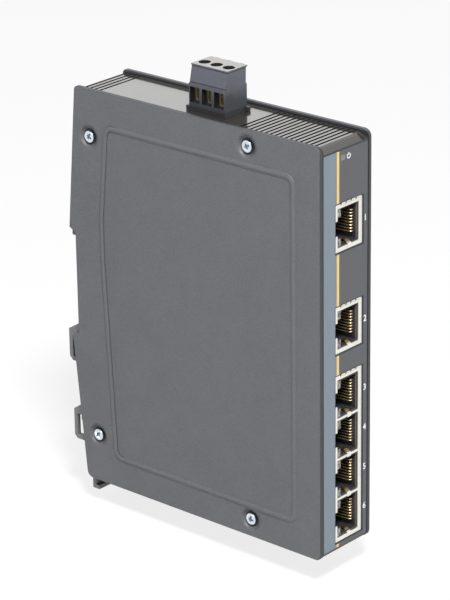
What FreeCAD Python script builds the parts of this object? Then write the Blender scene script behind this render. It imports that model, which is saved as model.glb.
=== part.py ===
"""Industrial DIN-rail Ethernet switch, built as a parametric FreeCAD document.

Frame: millimetres, +Z up, jacks face -Y, rail behind at +Y. The origin is the middle of the rail seat,
where the front face of a 35 mm top-hat rail meets the housing.
"""
import FreeCAD, Part
import math
import os
import Sketcher

# Driving dimensions in millimetres. A "_depth" counts back from the covers' front edges, a "_height" counts
# up from their bottom edges and an "_across" counts right from the left cover's outer face.
SIZES = {
    # overall housing
    "case_width": 25.4, "case_height": 140.0, "seat_to_front": 105.4, "seat_to_bottom": 70.5,
    "top_depth": 103.75, "foot_depth": 103.25, "rear_bulge": 2.7, "cover_wall": 1.6, "hook_bevel": 1.6,
    "heel_bevel": 1.5, "corner_radius": 2.5, "rear_radius": 1.5, "edge_chamfer": 0.3,
    # rail
    "rail_height": 35.0, "rail_lip": 1.0, "rail_play": 0.25, "hook_thickness": 1.4, "hook_overlap": 1.1,
    "seat_margin": 0.4, "seat_pad_rise": 0.3, "seat_pad_top": 86.5, "seat_pad_foot": 55.6,
    # raised bead on both covers
    "bead_front": 11.0, "bead_top": 11.6, "bead_bottom": 11.2, "bead_rear_top": 89.9,
    "bead_rear_middle": 92.9, "bead_rear_bottom": 89.3, "bead_bend_upper": 96.0,
    "bead_bend_lower": 82.0, "bead_width": 1.8, "bead_height": 0.35, "bead_chamfer": 0.25,
    "bead_radius": 3.5,
    # cover screws
    "screw_rear_depth": 97.5, "screw_front_depth": 29.6, "screw_rear_upper_height": 123.7,
    "screw_rear_lower_height": 17.2, "screw_front_upper_height": 134.6, "screw_front_lower_height": 6.3,
    "screw_shank_radius": 1.25, "screw_head_radius": 2.2, "screw_head_height": 0.85,
    "screw_length": 7.5, "screw_seat": 0.9, "screw_mouth_radius": 3.7, "screw_floor_radius": 2.5,
    "post_radius": 3.0, "post_rib": 1.6, "post_rib_reach": 5.5, "thread_gap": 0.05, "hole_gap": 0.2,
    "cross_width": 0.7, "cross_length": 2.6, "cross_depth": 0.5,
    # middle frame
    "frame_wall": 1.8, "top_recess": 1.25, "rear_recess": 0.75, "bevel_depth": 3.6, "bevel_drop": 1.4,
    "panel_recess": 0.3, "panel_wall": 1.6, "panel_sill": 1.9, "fit_gap": 0.05, "channel_depth": 4.8,
    "rear_shoulder": 90.3, "hook_back_height": 89.6, "rear_skin": 2.2, "shoulder_run": 1.4,
    # vents
    "vent_pitch": 2.02, "vent_width": 0.95, "groove_depth": 0.8, "vent_margin": 2.0, "front_vents": 16,
    "rear_vents": 4, "front_vent_depth": 5.4, "rear_vent_depth": 96.1,
    # front label film
    "label_film": 0.12, "label_margin": 0.2, "opening_gap": 0.3,
    # jacks
    "jack_width": 13.24, "jack_reach": 21.3, "jack_recess": 0.5, "jack_length": 15.7,
    "port_pitch": 13.97, "block_end": 1.11, "block_height": 32.745, "port_2_rise": 7.755,
    "port_1_rise": 18.32, "shield_wall": 0.25, "shield_front": 0.3, "mouth_half": 6.3,
    "mouth_board_lip": 2.0, "mouth_open_lip": 1.05, "notch_half": 2.45, "notch_depth": 1.5,
    "cavity_half": 6.0, "cavity_depth": 13.0, "cavity_board_side": 2.2, "cavity_open_side": 3.0,
    "step_half": 3.4, "step_side": 1.4, "light_inner": 3.6, "light_length": 2.65, "light_width": 1.7,
    "light_reach": 6.0, "light_inset": 0.1, "contact_pitch": 1.016, "contact_width": 0.45,
    "contact_thickness": 0.3, "contact_nose": 1.4, "contact_nose_run": 0.8, "contact_arm_drop": 2.2,
    "contact_arm_length": 9.2, "contact_bend": 0.42, "contact_slack": 0.1,
    # power light
    "lamp_across": 10.25, "lamp_height": 133.35, "lamp_wide": 2.0, "lamp_tall": 1.8, "lamp_elbow": 3.4,
    "lamp_thick": 2.0, "chip_rise": 0.8, "chip_long": 1.6, "chip_tall": 1.2,
    # circuit board
    "board_wall": 1.6, "standoff_rise": 1.0, "board_front_depth": 2.2, "board_length": 89.8,
    "board_foot": 3.6, "board_tall": 132.6, "board_notch_gap": 0.3, "board_hole_front": 40.0,
    "board_hole_rear": 86.0, "board_hole_lower": 14.0, "board_hole_upper": 118.0,
    "board_screw_radius": 1.0, "board_head_radius": 2.0, "board_head_rise": 1.2,
    "board_screw_length": 3.4, "standoff_radius": 2.6, "pilot_spare": 0.3,
    # terminal header
    "pole_pitch": 5.08, "plug_depth": 52.3, "plug_half_length": 7.65, "header_across": 7.1,
    "header_wide": 11.5, "header_wall": 1.2, "header_foot": 125.0, "header_shoulder": 136.8,
    "header_rim": 140.25, "header_floor": 127.0, "header_end_wall": 1.35, "header_gap": 0.2,
    "pin_side": 1.0, "pin_across": 12.3, "pin_leg_height": 125.5, "pin_top_height": 137.0,
    "pin_end": 0.6, "pin_hole_gap": 0.1, "header_rib_wide": 1.4, "header_rib_reach": 0.95,
    "header_rib_height": 138.85,
    # terminal plug
    "plug_across": 7.3, "plug_base_wide": 10.9, "plug_base_half": 7.45, "plug_base_tall": 7.55,
    "plug_slope_start": 0.45, "plug_slope_end": 1.65, "plug_back_start": 0.5, "plug_back_end": 0.35,
    "plug_slope_tall": 5.5, "plug_cap_across": 8.8, "plug_cap_wide": 9.5, "plug_cap_thick": 0.5,
    "plug_bump": 0.4, "plug_bump_long": 1.6, "mate_gap": 0.2, "mate_reach": 12.25,
    "plug_rest_gap": 0.05, "entry_half": 2.0, "entry_low": 141.5, "entry_tall": 5.2, "room_across": 9.8,
    "room_wide": 5.2, "room_low": 141.0, "room_tall": 9.0, "room_half": 2.05, "shaft_across": 12.4,
    "shaft_radius": 2.0, "ledge_thick": 0.5, "ledge_radius": 1.4,
    # plug contacts and clamps
    "socket_across": 11.7, "socket_side": 2.2, "socket_wall": 0.5, "socket_low": 128.3,
    "socket_high": 139.0, "strap_thick": 0.6, "strap_across": 15.1, "strap_half": 1.1, "strap_gap": 0.2,
    "bar_across": 9.2, "bar_high": 146.6, "cage_across": 9.9, "cage_wide": 4.9, "cage_half": 1.95,
    "cage_wall": 0.5, "cage_low": 141.05, "cage_floor": 0.8, "cage_tall": 6.7,
    "clamp_shank_radius": 1.2, "clamp_head_radius": 1.85, "clamp_head_rise": 1.4, "clamp_tip_gap": 0.05,
    "slot_wide": 0.7, "slot_deep": 0.7,
    # rail latch
    "latch_side_gap": 0.2, "latch_plate": 1.5, "latch_gap": 0.4, "latch_top_height": 49.5,
    "tongue_drop": 4.6, "tongue_lip": 1.4, "cheek_wall": 1.5, "loop_low": 40.8,
    "loop_high": 51.9, "loop_back": 111.5, "loop_corner": 1.4, "loop_strip": 1.6,
    "loop_window_low": 42.3, "loop_window_high": 50.3, "nose_high": 55.2, "nose_fall": 3.0,
    "nose_back": 2.85, "ear_low": 12.0, "ear_high": 25.2, "ear_back": 110.4, "ear_front_corner": 1.2,
    "ear_slope": 2.3, "ear_slope_run": 3.4, "ear_window_depth": 104.5, "ear_window_low": 13.6,
    "ear_window_high": 21.3, "ear_strip": 1.4, "ear_bar_depth": 105.0, "ear_bar_back": 108.4,
    "ear_bar_low": 18.6, "ear_bar_high": 22.6, "loop_window_depth": 105.0, "stud_wide": 3.0,
    "stud_tall": 5.0, "stud_gap": 0.2, "stud_head_wide": 5.0, "stud_head_thick": 1.0, "stud_lower": 4.6,
    "stud_upper": 38.0,
    # latch spring
    "spring_radius": 1.5, "spring_wire": 0.25, "spring_length": 15.0, "spring_turns": 7,
    "shelf_height": 14.0, "shelf_thick": 1.2, "shelf_wide": 4.4, "shelf_reach": 3.0, "shelf_gap": 0.3,
    "window_wide": 5.2, "spring_wall_gap": 0.2,
    # parts on the board
    "magnetic_depth": 25.0, "magnetic_long": 11.0, "magnetic_rise": 5.5, "magnetic_1_height": 103.5,
    "magnetic_1_tall": 15.7, "magnetic_2_height": 69.7, "magnetic_2_tall": 15.4,
    "magnetic_3_height": 40.0, "magnetic_3_tall": 18.0, "magnetic_4_height": 14.0,
    "magnetic_4_tall": 18.0, "core_depth": 50.0, "core_height": 40.0, "core_side": 14.0,
    "core_rise": 1.4, "core_lead_side": 15.6, "core_lead_rise": 0.5, "crystal_depth": 67.0,
    "crystal_height": 41.3, "crystal_long": 4.7, "crystal_tall": 11.4, "crystal_rise": 3.5,
    "crystal_corner": 1.4, "can_radius": 4.0, "can_rise": 12.0, "can_clear": 4.0, "can_depth": 70.0,
    "can_spacing": 10.0, "coil_depth": 66.0, "coil_height": 92.0, "coil_side": 10.0, "coil_rise": 5.0,
    "coil_corner": 2.0, "converter_depth": 50.0, "converter_height": 96.0, "converter_long": 13.0,
    "converter_tall": 14.0, "converter_rise": 11.0, "converter_flange": 1.0, "fuse_clear": 1.8,
    "fuse_radius": 4.25, "fuse_rise": 8.0, "round_edge": 0.5,
}

# How finely the spring's wire is drawn: straight steps in a turn and flats round the wire.
SPRING_STEPS = 10
WIRE_SIDES = 5
# Corners of small round things: those that show, those that are hidden, and six-sided standoffs and heads.
ROUND = 24
FINE = 16
HIDDEN = 8
HEX = 6

doc = FreeCAD.newDocument("rail_switch")
sheet = doc.addObject("Spreadsheet::Sheet", "Dims")
for row, (alias, number) in enumerate(SIZES.items(), start=1):
    sheet.set("A%d" % row, alias)
    sheet.set("B%d" % row, str(number))
    sheet.setAlias("B%d" % row, alias)
doc.recompute()


class Size:
    """A number together with the sheet expression that gives it, so that sums stay bound to the sheet."""

    def __init__(self, value, text):
        self.value = value
        self.text = text

    def _join(self, other, sign, value):
        return Size(value, "(%s %s %s)" % (self.text, sign, size(other).text))

    def __add__(self, other):
        return self._join(other, "+", self.value + size(other).value)

    def __sub__(self, other):
        return self._join(other, "-", self.value - size(other).value)

    def __mul__(self, other):
        return self._join(other, "*", self.value * size(other).value)

    def __truediv__(self, other):
        return self._join(other, "/", self.value / size(other).value)

    def __neg__(self):
        return Size(-self.value, "(0 - %s)" % self.text)

    def __float__(self):
        return float(self.value)


def size(thing):
    """Turn a sheet alias, a plain number or a Size into a Size."""
    if isinstance(thing, Size):
        return thing
    if isinstance(thing, str):
        return Size(float(sheet.get(thing)), "Dims." + thing)
    return Size(float(thing), "(%r)" % float(thing))


# ---------------------------------------------------------------- ways to make a piece
NODES = []


def new_body(label, kept=True):
    """A PartDesign body; a pattern for a group of copies is not kept as a node of its own."""
    body = doc.addObject("PartDesign::Body", label)
    body.Label = label
    if kept:
        NODES.append(body)
    return body


def new_sketch(body, plane, offset):
    """A sketch on one of the body's own origin planes, moved along that plane's normal by offset."""
    sketch = body.newObject("Sketcher::SketchObject", body.Name + "_sketch")
    for feature in body.Origin.OriginFeatures:
        if feature.Role == plane + "_Plane":
            sketch.AttachmentSupport = [(feature, "")]
    sketch.MapMode = "FlatFace"
    sketch.setExpression("AttachmentOffset.Base.z", size(offset).text)
    return sketch


def pin_point(sketch, geometry, end, point):
    """Hold one point of the sketch at two distances from the origin."""
    for kind, distance in zip(("DistanceX", "DistanceY"), point):
        index = sketch.addConstraint(Sketcher.Constraint(kind, -1, 1, geometry, end, float(distance)))
        sketch.setExpression("Constraints[%d]" % index, distance.text)


def add_loop(sketch, points):
    """A closed outline of straight edges through the points."""
    points = [(size(u), size(v)) for u, v in points]
    corners = [FreeCAD.Vector(float(u), float(v), 0) for u, v in points]
    first = sketch.GeometryCount
    count = len(points)
    for i in range(count):
        sketch.addGeometry(Part.LineSegment(corners[i], corners[(i + 1) % count]), False)
    for i in range(count):
        sketch.addConstraint(Sketcher.Constraint("Coincident", first + i, 2, first + (i + 1) % count, 1))
        pin_point(sketch, first + i, 1, points[i])


def add_circle(sketch, centre, radius):
    centre = (size(centre[0]), size(centre[1]))
    radius = size(radius)
    spot = FreeCAD.Vector(float(centre[0]), float(centre[1]), 0)
    index = sketch.addGeometry(Part.Circle(spot, FreeCAD.Vector(0, 0, 1), float(radius)), False)
    pin_point(sketch, index, 3, centre)
    limit = sketch.addConstraint(Sketcher.Constraint("Radius", index, float(radius)))
    sketch.setExpression("Constraints[%d]" % limit, radius.text)


def box_loop(u0, u1, v0, v1):
    return [(u0, v0), (u1, v0), (u1, v1), (u0, v1)]


def many_sided(centre, radius, sides):
    """A regular outline with its corners on the circle; it stands in for a round that is out of sight."""
    turn = 2 * math.pi / sides
    return [(size(centre[0]) + size(radius) * math.cos(turn * (k + 0.5)),
             size(centre[1]) + size(radius) * math.sin(turn * (k + 0.5))) for k in range(sides)]


def sweep_up(body, kind, sketch, length, reverse):
    """Pad or Pocket the sketch over a length, and make sure that the solid grew or shrank."""
    before = body.Shape.Volume if body.Tip else 0.0
    feature = body.newObject("PartDesign::" + kind, body.Name + "_" + kind.lower())
    feature.Profile = sketch
    feature.Reversed = reverse
    feature.setExpression("Length", size(length).text)
    doc.recompute()
    change = body.Shape.Volume - before
    if (change <= 0) == (kind == "Pad"):
        raise RuntimeError("%s of %s changes nothing" % (kind, body.Label))
    return feature


def pad(body, plane, offset, loops, length, reverse=False, circles=()):
    sketch = new_sketch(body, plane, offset)
    for loop in loops:
        add_loop(sketch, loop)
    for centre, radius in circles:
        add_circle(sketch, centre, radius)
    return sweep_up(body, "Pad", sketch, length, reverse)


def cut(body, plane, offset, loops, length, reverse=False, circles=()):
    sketch = new_sketch(body, plane, offset)
    for loop in loops:
        add_loop(sketch, loop)
    for centre, radius in circles:
        add_circle(sketch, centre, radius)
    return sweep_up(body, "Pocket", sketch, length, reverse)


def block(body, low, high, kind="Pad"):
    """A box from its low to its high corner, added or cut away."""
    low = [size(v) for v in low]
    high = [size(v) for v in high]
    sketch = new_sketch(body, "XY", low[2])
    add_loop(sketch, box_loop(low[0], high[0], low[1], high[1]))
    return sweep_up(body, kind, sketch, high[2] - low[2], kind == "Pocket")


def dress(body, kind, amount, wanted):
    """Fillet or Chamfer those edges of the tip for which wanted(edge) is true."""
    base = body.Tip
    names = ["Edge%d" % i for i, edge in enumerate(base.Shape.Edges, start=1) if wanted(edge)]
    feature = body.newObject("PartDesign::" + kind, body.Name + "_" + kind.lower())
    feature.Base = (base, names)
    feature.setExpression("Radius" if kind == "Fillet" else "Size", size(amount).text)
    doc.recompute()
    return feature


def repeat(body, feature, sketch_axis, step, count):
    """Repeat a feature along a sketch axis, count times, one step apart."""
    pattern = body.newObject("PartDesign::LinearPattern", body.Name + "_pattern")
    pattern.Originals = [feature]
    pattern.Direction = (feature.Profile[0], [sketch_axis])
    pattern.setExpression("Length", (size(step) * (size(count) - 1)).text)
    pattern.setExpression("Occurrences", size(count).text)
    body.Tip = pattern
    doc.recompute()
    return pattern


def group(label, shapes):
    """Several like pieces in one node."""
    feature = doc.addObject("Part::Feature", label)
    feature.Label = label
    feature.Shape = Part.makeCompound(shapes)
    NODES.append(feature)
    return feature


def copies(pattern, shifts):
    """Moved copies of a pattern body's solid."""
    moved = []
    for shift in shifts:
        shape = pattern.Shape.copy()
        shape.translate(FreeCAD.Vector(*[float(size(v)) for v in shift]))
        moved.append(shape)
    return moved


def along_x(edge):
    a, b = edge.Vertexes[0].Point, edge.Vertexes[-1].Point
    return abs(a.y - b.y) < 1e-6 and abs(a.z - b.z) < 1e-6 and abs(a.x - b.x) > 1e-6


def near(edge, y, z, reach=0.05):
    middle = edge.CenterOfMass
    return abs(middle.y - float(y)) < reach and abs(middle.z - float(z)) < reach


# ---------------------------------------------------------------- places shared by several pieces
left = -size("case_width") / 2
right = -left
front = -size("seat_to_front")
bottom = -size("seat_to_bottom")
top = bottom + "case_height"


def across(x):
    """A place counted right from the left cover's outer face."""
    return left + x


def back(y):
    """A place counted back from the covers' front edges."""
    return front + y


def up(z):
    """A place counted up from the covers' bottom edges."""
    return bottom + z


inner_left = across("cover_wall")
inner_right = -inner_left
inner_width = size("case_width") - size("cover_wall") * 2
rail_top = size("rail_height") / 2
seat_top = rail_top + "seat_margin"
seat_bottom = -seat_top
hook_front = size("rail_lip") + "rail_play"
hook_rear = hook_front + "hook_thickness"
channel = -size("channel_depth")
frame_top = top - "top_recess"
frame_bottom = bottom + "top_recess"
panel_front = back("panel_recess")
panel_rear = panel_front + "panel_wall"
panel_bottom = up("panel_sill")
panel_top = frame_top - "bevel_drop" - "fit_gap"
board_right = inner_right - "standoff_rise"
board_left = board_right - "board_wall"
jack_left = board_left - "jack_width"
jack_front = back("jack_recess")
jack_rear = jack_front + "jack_reach"
screw_places = [
    (back("screw_rear_depth"), up("screw_rear_upper_height")),
    (back("screw_front_depth"), up("screw_front_upper_height")),
    (back("screw_rear_depth"), up("screw_rear_lower_height")),
    (back("screw_front_depth"), up("screw_front_lower_height")),
]
board_holes = [
    (back("board_hole_front"), up("board_hole_lower")), (back("board_hole_rear"), up("board_hole_lower")),
    (back("board_hole_front"), up("board_hole_upper")), (back("board_hole_rear"), up("board_hole_upper")),
]
jack_half = size("jack_length") / 2
block_half = size("port_pitch") * 2 + "block_end"
port_2 = up("block_height") + block_half + "port_2_rise" + jack_half
port_1 = port_2 + jack_half + "port_1_rise" + jack_half
JACKS = {
    "jack_1": [port_1],
    "jack_2": [port_2],
    "jack_block": [up("block_height") + size("port_pitch") * k for k in (1.5, 0.5, -0.5, -1.5)],
}


def jack_ends(name):
    """Bottom and top of a jack's shield: one port fills its own length, the block adds its two ends."""
    half = jack_half if len(JACKS[name]) == 1 else block_half
    middle_height = (JACKS[name][0] + JACKS[name][-1]) / 2
    return middle_height - half, middle_height + half


coil_top = up("coil_height") + "coil_side"
can_middle = coil_top + "can_clear" + "can_radius"
poles = [back("plug_depth") + size("pole_pitch") * k for k in (-1, 0, 1)]
plug_middle = back("plug_depth")


# ---------------------------------------------------------------- covers
def build_cover(label, side):
    """A side cover: plate, raised bead and sunk screw seats. side is -1 for the left, +1 for the right."""
    body = new_body(label)
    outward = side > 0
    outer = right * side
    inner = inner_right * side
    outline = [
        (front, bottom), (front, top), (back("top_depth"), top),
        ("rear_bulge", seat_top + "hook_bevel"), (0, seat_top), (0, seat_bottom),
        ("rear_bulge", seat_bottom - "heel_bevel"), (back("foot_depth"), bottom),
    ]
    pad(body, "YZ", inner, [outline], "cover_wall", reverse=not outward)
    dress(body, "Fillet", "corner_radius", lambda e: along_x(e) and (
        near(e, front, top) or near(e, front, bottom) or near(e, back("foot_depth"), bottom)))
    dress(body, "Fillet", "rear_radius", lambda e: along_x(e) and near(e, back("top_depth"), top))
    dress(body, "Chamfer", "edge_chamfer", lambda e: flat_at(e, outer))
    build_bead(body, outer, outward)
    seat = cut(body, "YZ", outer, [many_sided(place, "screw_mouth_radius", ROUND) for place in screw_places],
               "screw_seat", reverse=not outward)
    narrow = (size("screw_mouth_radius") - "screw_floor_radius") / size("screw_seat")
    seat.setExpression("TaperAngle", "-atan(%s)" % narrow.text)
    doc.recompute()
    hole = size("screw_shank_radius") + "hole_gap"
    cut(body, "YZ", outer, [many_sided(place, hole, HIDDEN) for place in screw_places], "cover_wall",
        reverse=not outward)
    return body


def flat_at(edge, x):
    """True for an edge that lies in the plane across at x."""
    return all(abs(v.Point.x - float(x)) < 1e-6 for v in edge.Vertexes) and not along_x(edge)


def build_bead(body, outer, outward):
    """The raised bead, a closed strip that follows the cover's outline."""
    half = size("bead_width") / 2

    def outline(grow):
        low, high = up("bead_bottom") - grow, top - "bead_top" + grow
        return [
            (back("bead_front") - grow, low), (back("bead_front") - grow, high),
            (back("bead_rear_top") + grow, high), (back("bead_rear_middle") + grow, up("bead_bend_upper")),
            (back("bead_rear_middle") + grow, up("bead_bend_lower")), (back("bead_rear_bottom") + grow, low),
        ]

    pad(body, "YZ", outer, [outline(half), outline(-half)], "bead_height", reverse=not outward)
    for grow, radius in ((half, size("bead_radius")), (-half, size("bead_radius") - "bead_width")):
        corners = outline(grow)[:3] + outline(grow)[5:]
        dress(body, "Fillet", radius, lambda e: along_x(e) and any(near(e, y, z) for y, z in corners))
    crest = outer + size("bead_height") * (1 if outward else -1)
    dress(body, "Chamfer", "bead_chamfer", lambda e: flat_at(e, crest))


def build_right_cover():
    """The right cover also carries the board on four standoffs with blind pilot holes."""
    body = build_cover("right_cover", 1)
    pad(body, "YZ", inner_right, [many_sided(place, "standoff_radius", HEX) for place in board_holes],
        "standoff_rise", reverse=True)
    depth = size("board_screw_length") - "board_wall" + "pilot_spare"
    pilot = size("board_screw_radius") + "thread_gap"
    cut(body, "YZ", board_right, [many_sided(place, pilot, HIDDEN) for place in board_holes], depth,
        reverse=True)


def build_cover_screws():
    """Eight screws with sunk cross heads, four from either side."""
    screw = new_body("cover_screw", kept=False)
    head = -size("screw_head_height")
    pad(screw, "YZ", head, [many_sided((0, 0), "screw_head_radius", FINE)], "screw_head_height")
    pad(screw, "YZ", 0, [many_sided((0, 0), "screw_shank_radius", HIDDEN)], "screw_length")
    long, wide = size("cross_length") / 2, size("cross_width") / 2
    cross = [(-long, -wide), (-wide, -wide), (-wide, -long), (wide, -long), (wide, -wide), (long, -wide),
             (long, wide), (wide, wide), (wide, long), (-wide, long), (-wide, wide), (-long, wide)]
    cut(screw, "YZ", head, [cross], "cross_depth", reverse=True)
    solids = copies(screw, [(across("screw_seat"), y, z) for y, z in screw_places])
    turned = [shape.mirror(FreeCAD.Vector(0, 0, 0), FreeCAD.Vector(1, 0, 0)) for shape in solids]
    group("cover_screws", solids + turned)


# ---------------------------------------------------------------- middle frame
def build_frame():
    """Top, rear and bottom walls in one C-shaped moulding with the rail hook, posts and latch guides."""
    body = new_body("body_frame")
    wall = size("frame_wall")
    rear_top = back("top_depth") - "rear_recess"
    sill_rear = panel_rear + "fit_gap"
    pad_root = -size("seat_pad_rise")
    outline = [
        (panel_front, frame_top - "bevel_drop"), (panel_front + "bevel_depth", frame_top),
        (rear_top, frame_top), (hook_rear - "shoulder_run", up("rear_shoulder")),
        (hook_rear, up("hook_back_height")),
        (hook_rear, rail_top - "hook_overlap"), (hook_front, rail_top - "hook_overlap"),
        (hook_front, seat_top), (pad_root, seat_top), (pad_root, up("seat_pad_top")),
        (0, up("seat_pad_top")), (0, up("seat_pad_foot")), (pad_root, up("seat_pad_foot")),
        (pad_root, seat_bottom), (channel, seat_bottom),
        (channel, frame_bottom), (panel_front, frame_bottom), (panel_front, panel_bottom),
        (sill_rear, panel_bottom), (sill_rear, frame_bottom + wall), (channel - wall, frame_bottom + wall),
        (channel - wall, seat_bottom + wall), (-wall, seat_bottom + wall), (-wall, seat_top + wall),
        (hook_rear - "shoulder_run" - "rear_skin", up("rear_shoulder") + wall),
        (rear_top - "rear_skin", frame_top - wall),
        (sill_rear, frame_top - wall), (sill_rear, frame_top - "bevel_drop"),
    ]
    pad(body, "YZ", inner_left, [outline], inner_width)
    pad(body, "YZ", inner_left, [many_sided(screw_places[0], "post_radius", HIDDEN)], inner_width)
    rib = size("post_rib") / 2
    y, z = screw_places[0]
    block(body, (inner_left, y, z - rib), (inner_right, y + "post_rib_reach", z + rib))
    y, z = screw_places[1]
    block(body, (inner_left, y - rib, z), (inner_right, y + rib, frame_top - wall))
    y, z = screw_places[3]
    block(body, (inner_left, y - rib, frame_bottom + wall), (inner_right, y + rib, z))
    for place in screw_places[1:]:
        pad(body, "YZ", inner_left, [many_sided(place, "post_radius", HIDDEN)], inner_width)
    pilot = size("screw_shank_radius") + "thread_gap"
    cut(body, "YZ", inner_left, [many_sided(place, pilot, HIDDEN) for place in screw_places], inner_width,
        reverse=True)
    gap = size("header_gap")
    half = size("plug_half_length") + gap
    block(body, (across("header_across") - gap, plug_middle - half, frame_top - wall * 2),
          (across("header_across") + "header_wide" + gap, plug_middle + half, frame_top),
          "Pocket")
    build_vents(body, frame_top - "groove_depth", frame_top - wall, frame_top)
    build_vents(body, frame_bottom, frame_bottom, frame_bottom + wall)
    build_guides(body)


def build_vents(body, groove_low, slot_low, slot_high):
    """Rows of grooves over the full width, each with a through slot, in front of and behind the plug."""
    half = size("vent_width") / 2
    margin = size("vent_margin")
    for first, count in (("front_vent_depth", "front_vents"), ("rear_vent_depth", "rear_vents")):
        y = back(first)
        groove = block(body, (inner_left, y - half, groove_low),
                       (inner_right, y + half, groove_low + "groove_depth"), "Pocket")
        repeat(body, groove, "V_Axis", "vent_pitch", count)
        slot = block(body, (inner_left + margin, y - half, slot_low),
                     (inner_right - margin, y + half, slot_high), "Pocket")
        repeat(body, slot, "V_Axis", "vent_pitch", count)


def build_guides(body):
    """Two T-shaped studs that carry the rail latch, and the shelf its spring stands on."""
    neck = size("stud_wide") / 2
    head = size("stud_head_wide") / 2
    face = channel + "latch_gap" + "latch_plate" + "stud_gap"
    for low in (up("stud_lower"), up("stud_upper")):
        block(body, (-neck, channel, low), (neck, face, low + "stud_tall"))
        block(body, (-head, face, low), (head, face + "stud_head_thick", low + "stud_tall"))
    shelf = size("shelf_wide") / 2
    block(body, (-shelf, channel, up("shelf_height")),
          (shelf, channel + "shelf_reach", up("shelf_height") + "shelf_thick"))


def jack_openings(body, low_y, high_y):
    """Cut the three jack openings with a gap all round, so that the panel never bears on a shield."""
    gap = size("opening_gap")
    for name in JACKS:
        low, high = jack_ends(name)
        block(body, (jack_left - gap, low_y, low - gap), (board_left + gap, high_y, high + gap), "Pocket")


def lamp_opening(body, low_y, high_y):
    gap = size("fit_gap")
    block(body, (across("lamp_across") - gap, low_y, up("lamp_height") - gap),
          (across("lamp_across") + "lamp_wide" + gap, high_y, up("lamp_height") + "lamp_tall" + gap),
          "Pocket")


def build_panel():
    body = new_body("front_panel")
    side = inner_right - "fit_gap"
    block(body, (-side, panel_front, panel_bottom), (side, panel_rear, panel_top))
    jack_openings(body, panel_front, panel_rear)
    lamp_opening(body, panel_front, panel_rear)


def build_label():
    """A printed film over the panel."""
    body = new_body("front_label")
    side = inner_right - "label_margin"
    film = panel_front - "label_film"
    margin = size("label_margin")
    block(body, (-side, film, panel_bottom + margin), (side, panel_front, panel_top - margin))
    jack_openings(body, film, panel_front)
    lamp_opening(body, film, panel_front)


# ---------------------------------------------------------------- jacks
def build_shield(name):
    """A folded metal shell, open behind, with one mouth and one latch notch for each port."""
    low, high = jack_ends(name)
    wall = size("shield_wall")
    body = new_body(name + "_shield")
    block(body, (jack_left, jack_front, low), (board_left, jack_rear, high))
    block(body, (jack_left + wall, jack_front + "shield_front", low + wall),
          (board_left - wall, jack_rear, high - wall), "Pocket")
    mouths, notches = [], []
    for z in JACKS[name]:
        mouth_left = jack_left + "mouth_open_lip"
        mouths.append(box_loop(mouth_left, board_left - "mouth_board_lip",
                               z - "mouth_half", z + "mouth_half"))
        notches.append(box_loop(jack_left, mouth_left, z - "notch_half", z + "notch_half"))
    cut(body, "XZ", -jack_front, mouths, "shield_front")
    cut(body, "XZ", -jack_front, notches, "notch_depth")
    return body


def build_insert(name):
    """The moulded insert: plug cavities stepped for the latch, and pockets for the port lights."""
    low, high = jack_ends(name)
    wall = size("shield_wall")
    face = jack_front + "shield_front"
    body = new_body(name + "_insert")
    block(body, (jack_left + wall, face, low + wall), (board_left - wall, jack_rear - wall, high - wall))
    cavity_left = jack_left + "cavity_open_side"
    step_left = jack_left + "step_side"
    cavities, steps, notches, pockets = [], [], [], []
    for z in JACKS[name]:
        cavities.append(box_loop(cavity_left, board_left - "cavity_board_side",
                                 z - "cavity_half", z + "cavity_half"))
        steps.append(box_loop(step_left, cavity_left, z - "step_half", z + "step_half"))
        notches.append(box_loop(jack_left + wall, step_left, z - "notch_half", z + "notch_half"))
        for low_z in light_places(z):
            pockets.append(box_loop(light_left, light_left + "light_width", low_z, low_z + "light_length"))
    for loops in (cavities, steps, notches):
        cut(body, "XZ", -face, loops, "cavity_depth")
    cut(body, "XZ", -face, pockets, "light_reach")
    return body


light_left = jack_left + "mouth_open_lip" + "fit_gap"


def light_places(z):
    return z + "light_inner", z - "light_inner" - "light_length"


def build_contacts(name):
    """Eight spring contacts for each port, all standing off the cavity's board-side wall."""
    seat = board_left - "cavity_board_side"
    root = jack_front + "shield_front" + "cavity_depth"
    nose = jack_front + "contact_nose"
    thick = size("contact_thickness")
    arm = (seat - "contact_nose_run" - "contact_arm_drop", nose + "contact_arm_length")
    slack = size("contact_slack")
    blade = new_body(name + "_contact", kept=False)
    outline = [
        (seat, root), (seat, nose + "contact_nose_run"), (seat - "contact_nose_run", nose), arm,
        (arm[0] + thick, arm[1] + slack), (seat - "contact_nose_run" + slack, nose + "contact_bend"),
        (seat - thick, nose + "contact_nose_run" + slack), (seat - thick, root),
    ]
    pad(blade, "XY", 0, [outline], "contact_width")
    pitch = size("contact_pitch")
    first = -(pitch * 3.5 + size("contact_width") / 2)
    shifts = [(0, 0, z + first + pitch * k) for z in JACKS[name] for k in range(8)]
    group(name + "_contacts", copies(blade, shifts))


def build_port_lights():
    light = new_body("port_light", kept=False)
    face = jack_front + "light_inset"
    rear = jack_front + "shield_front" + "light_reach"
    block(light, (light_left, face, 0), (light_left + "light_width", rear, "light_length"))
    shifts = [(0, 0, low) for name in JACKS for z in JACKS[name] for low in light_places(z)]
    group("port_lights", copies(light, shifts))


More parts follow.
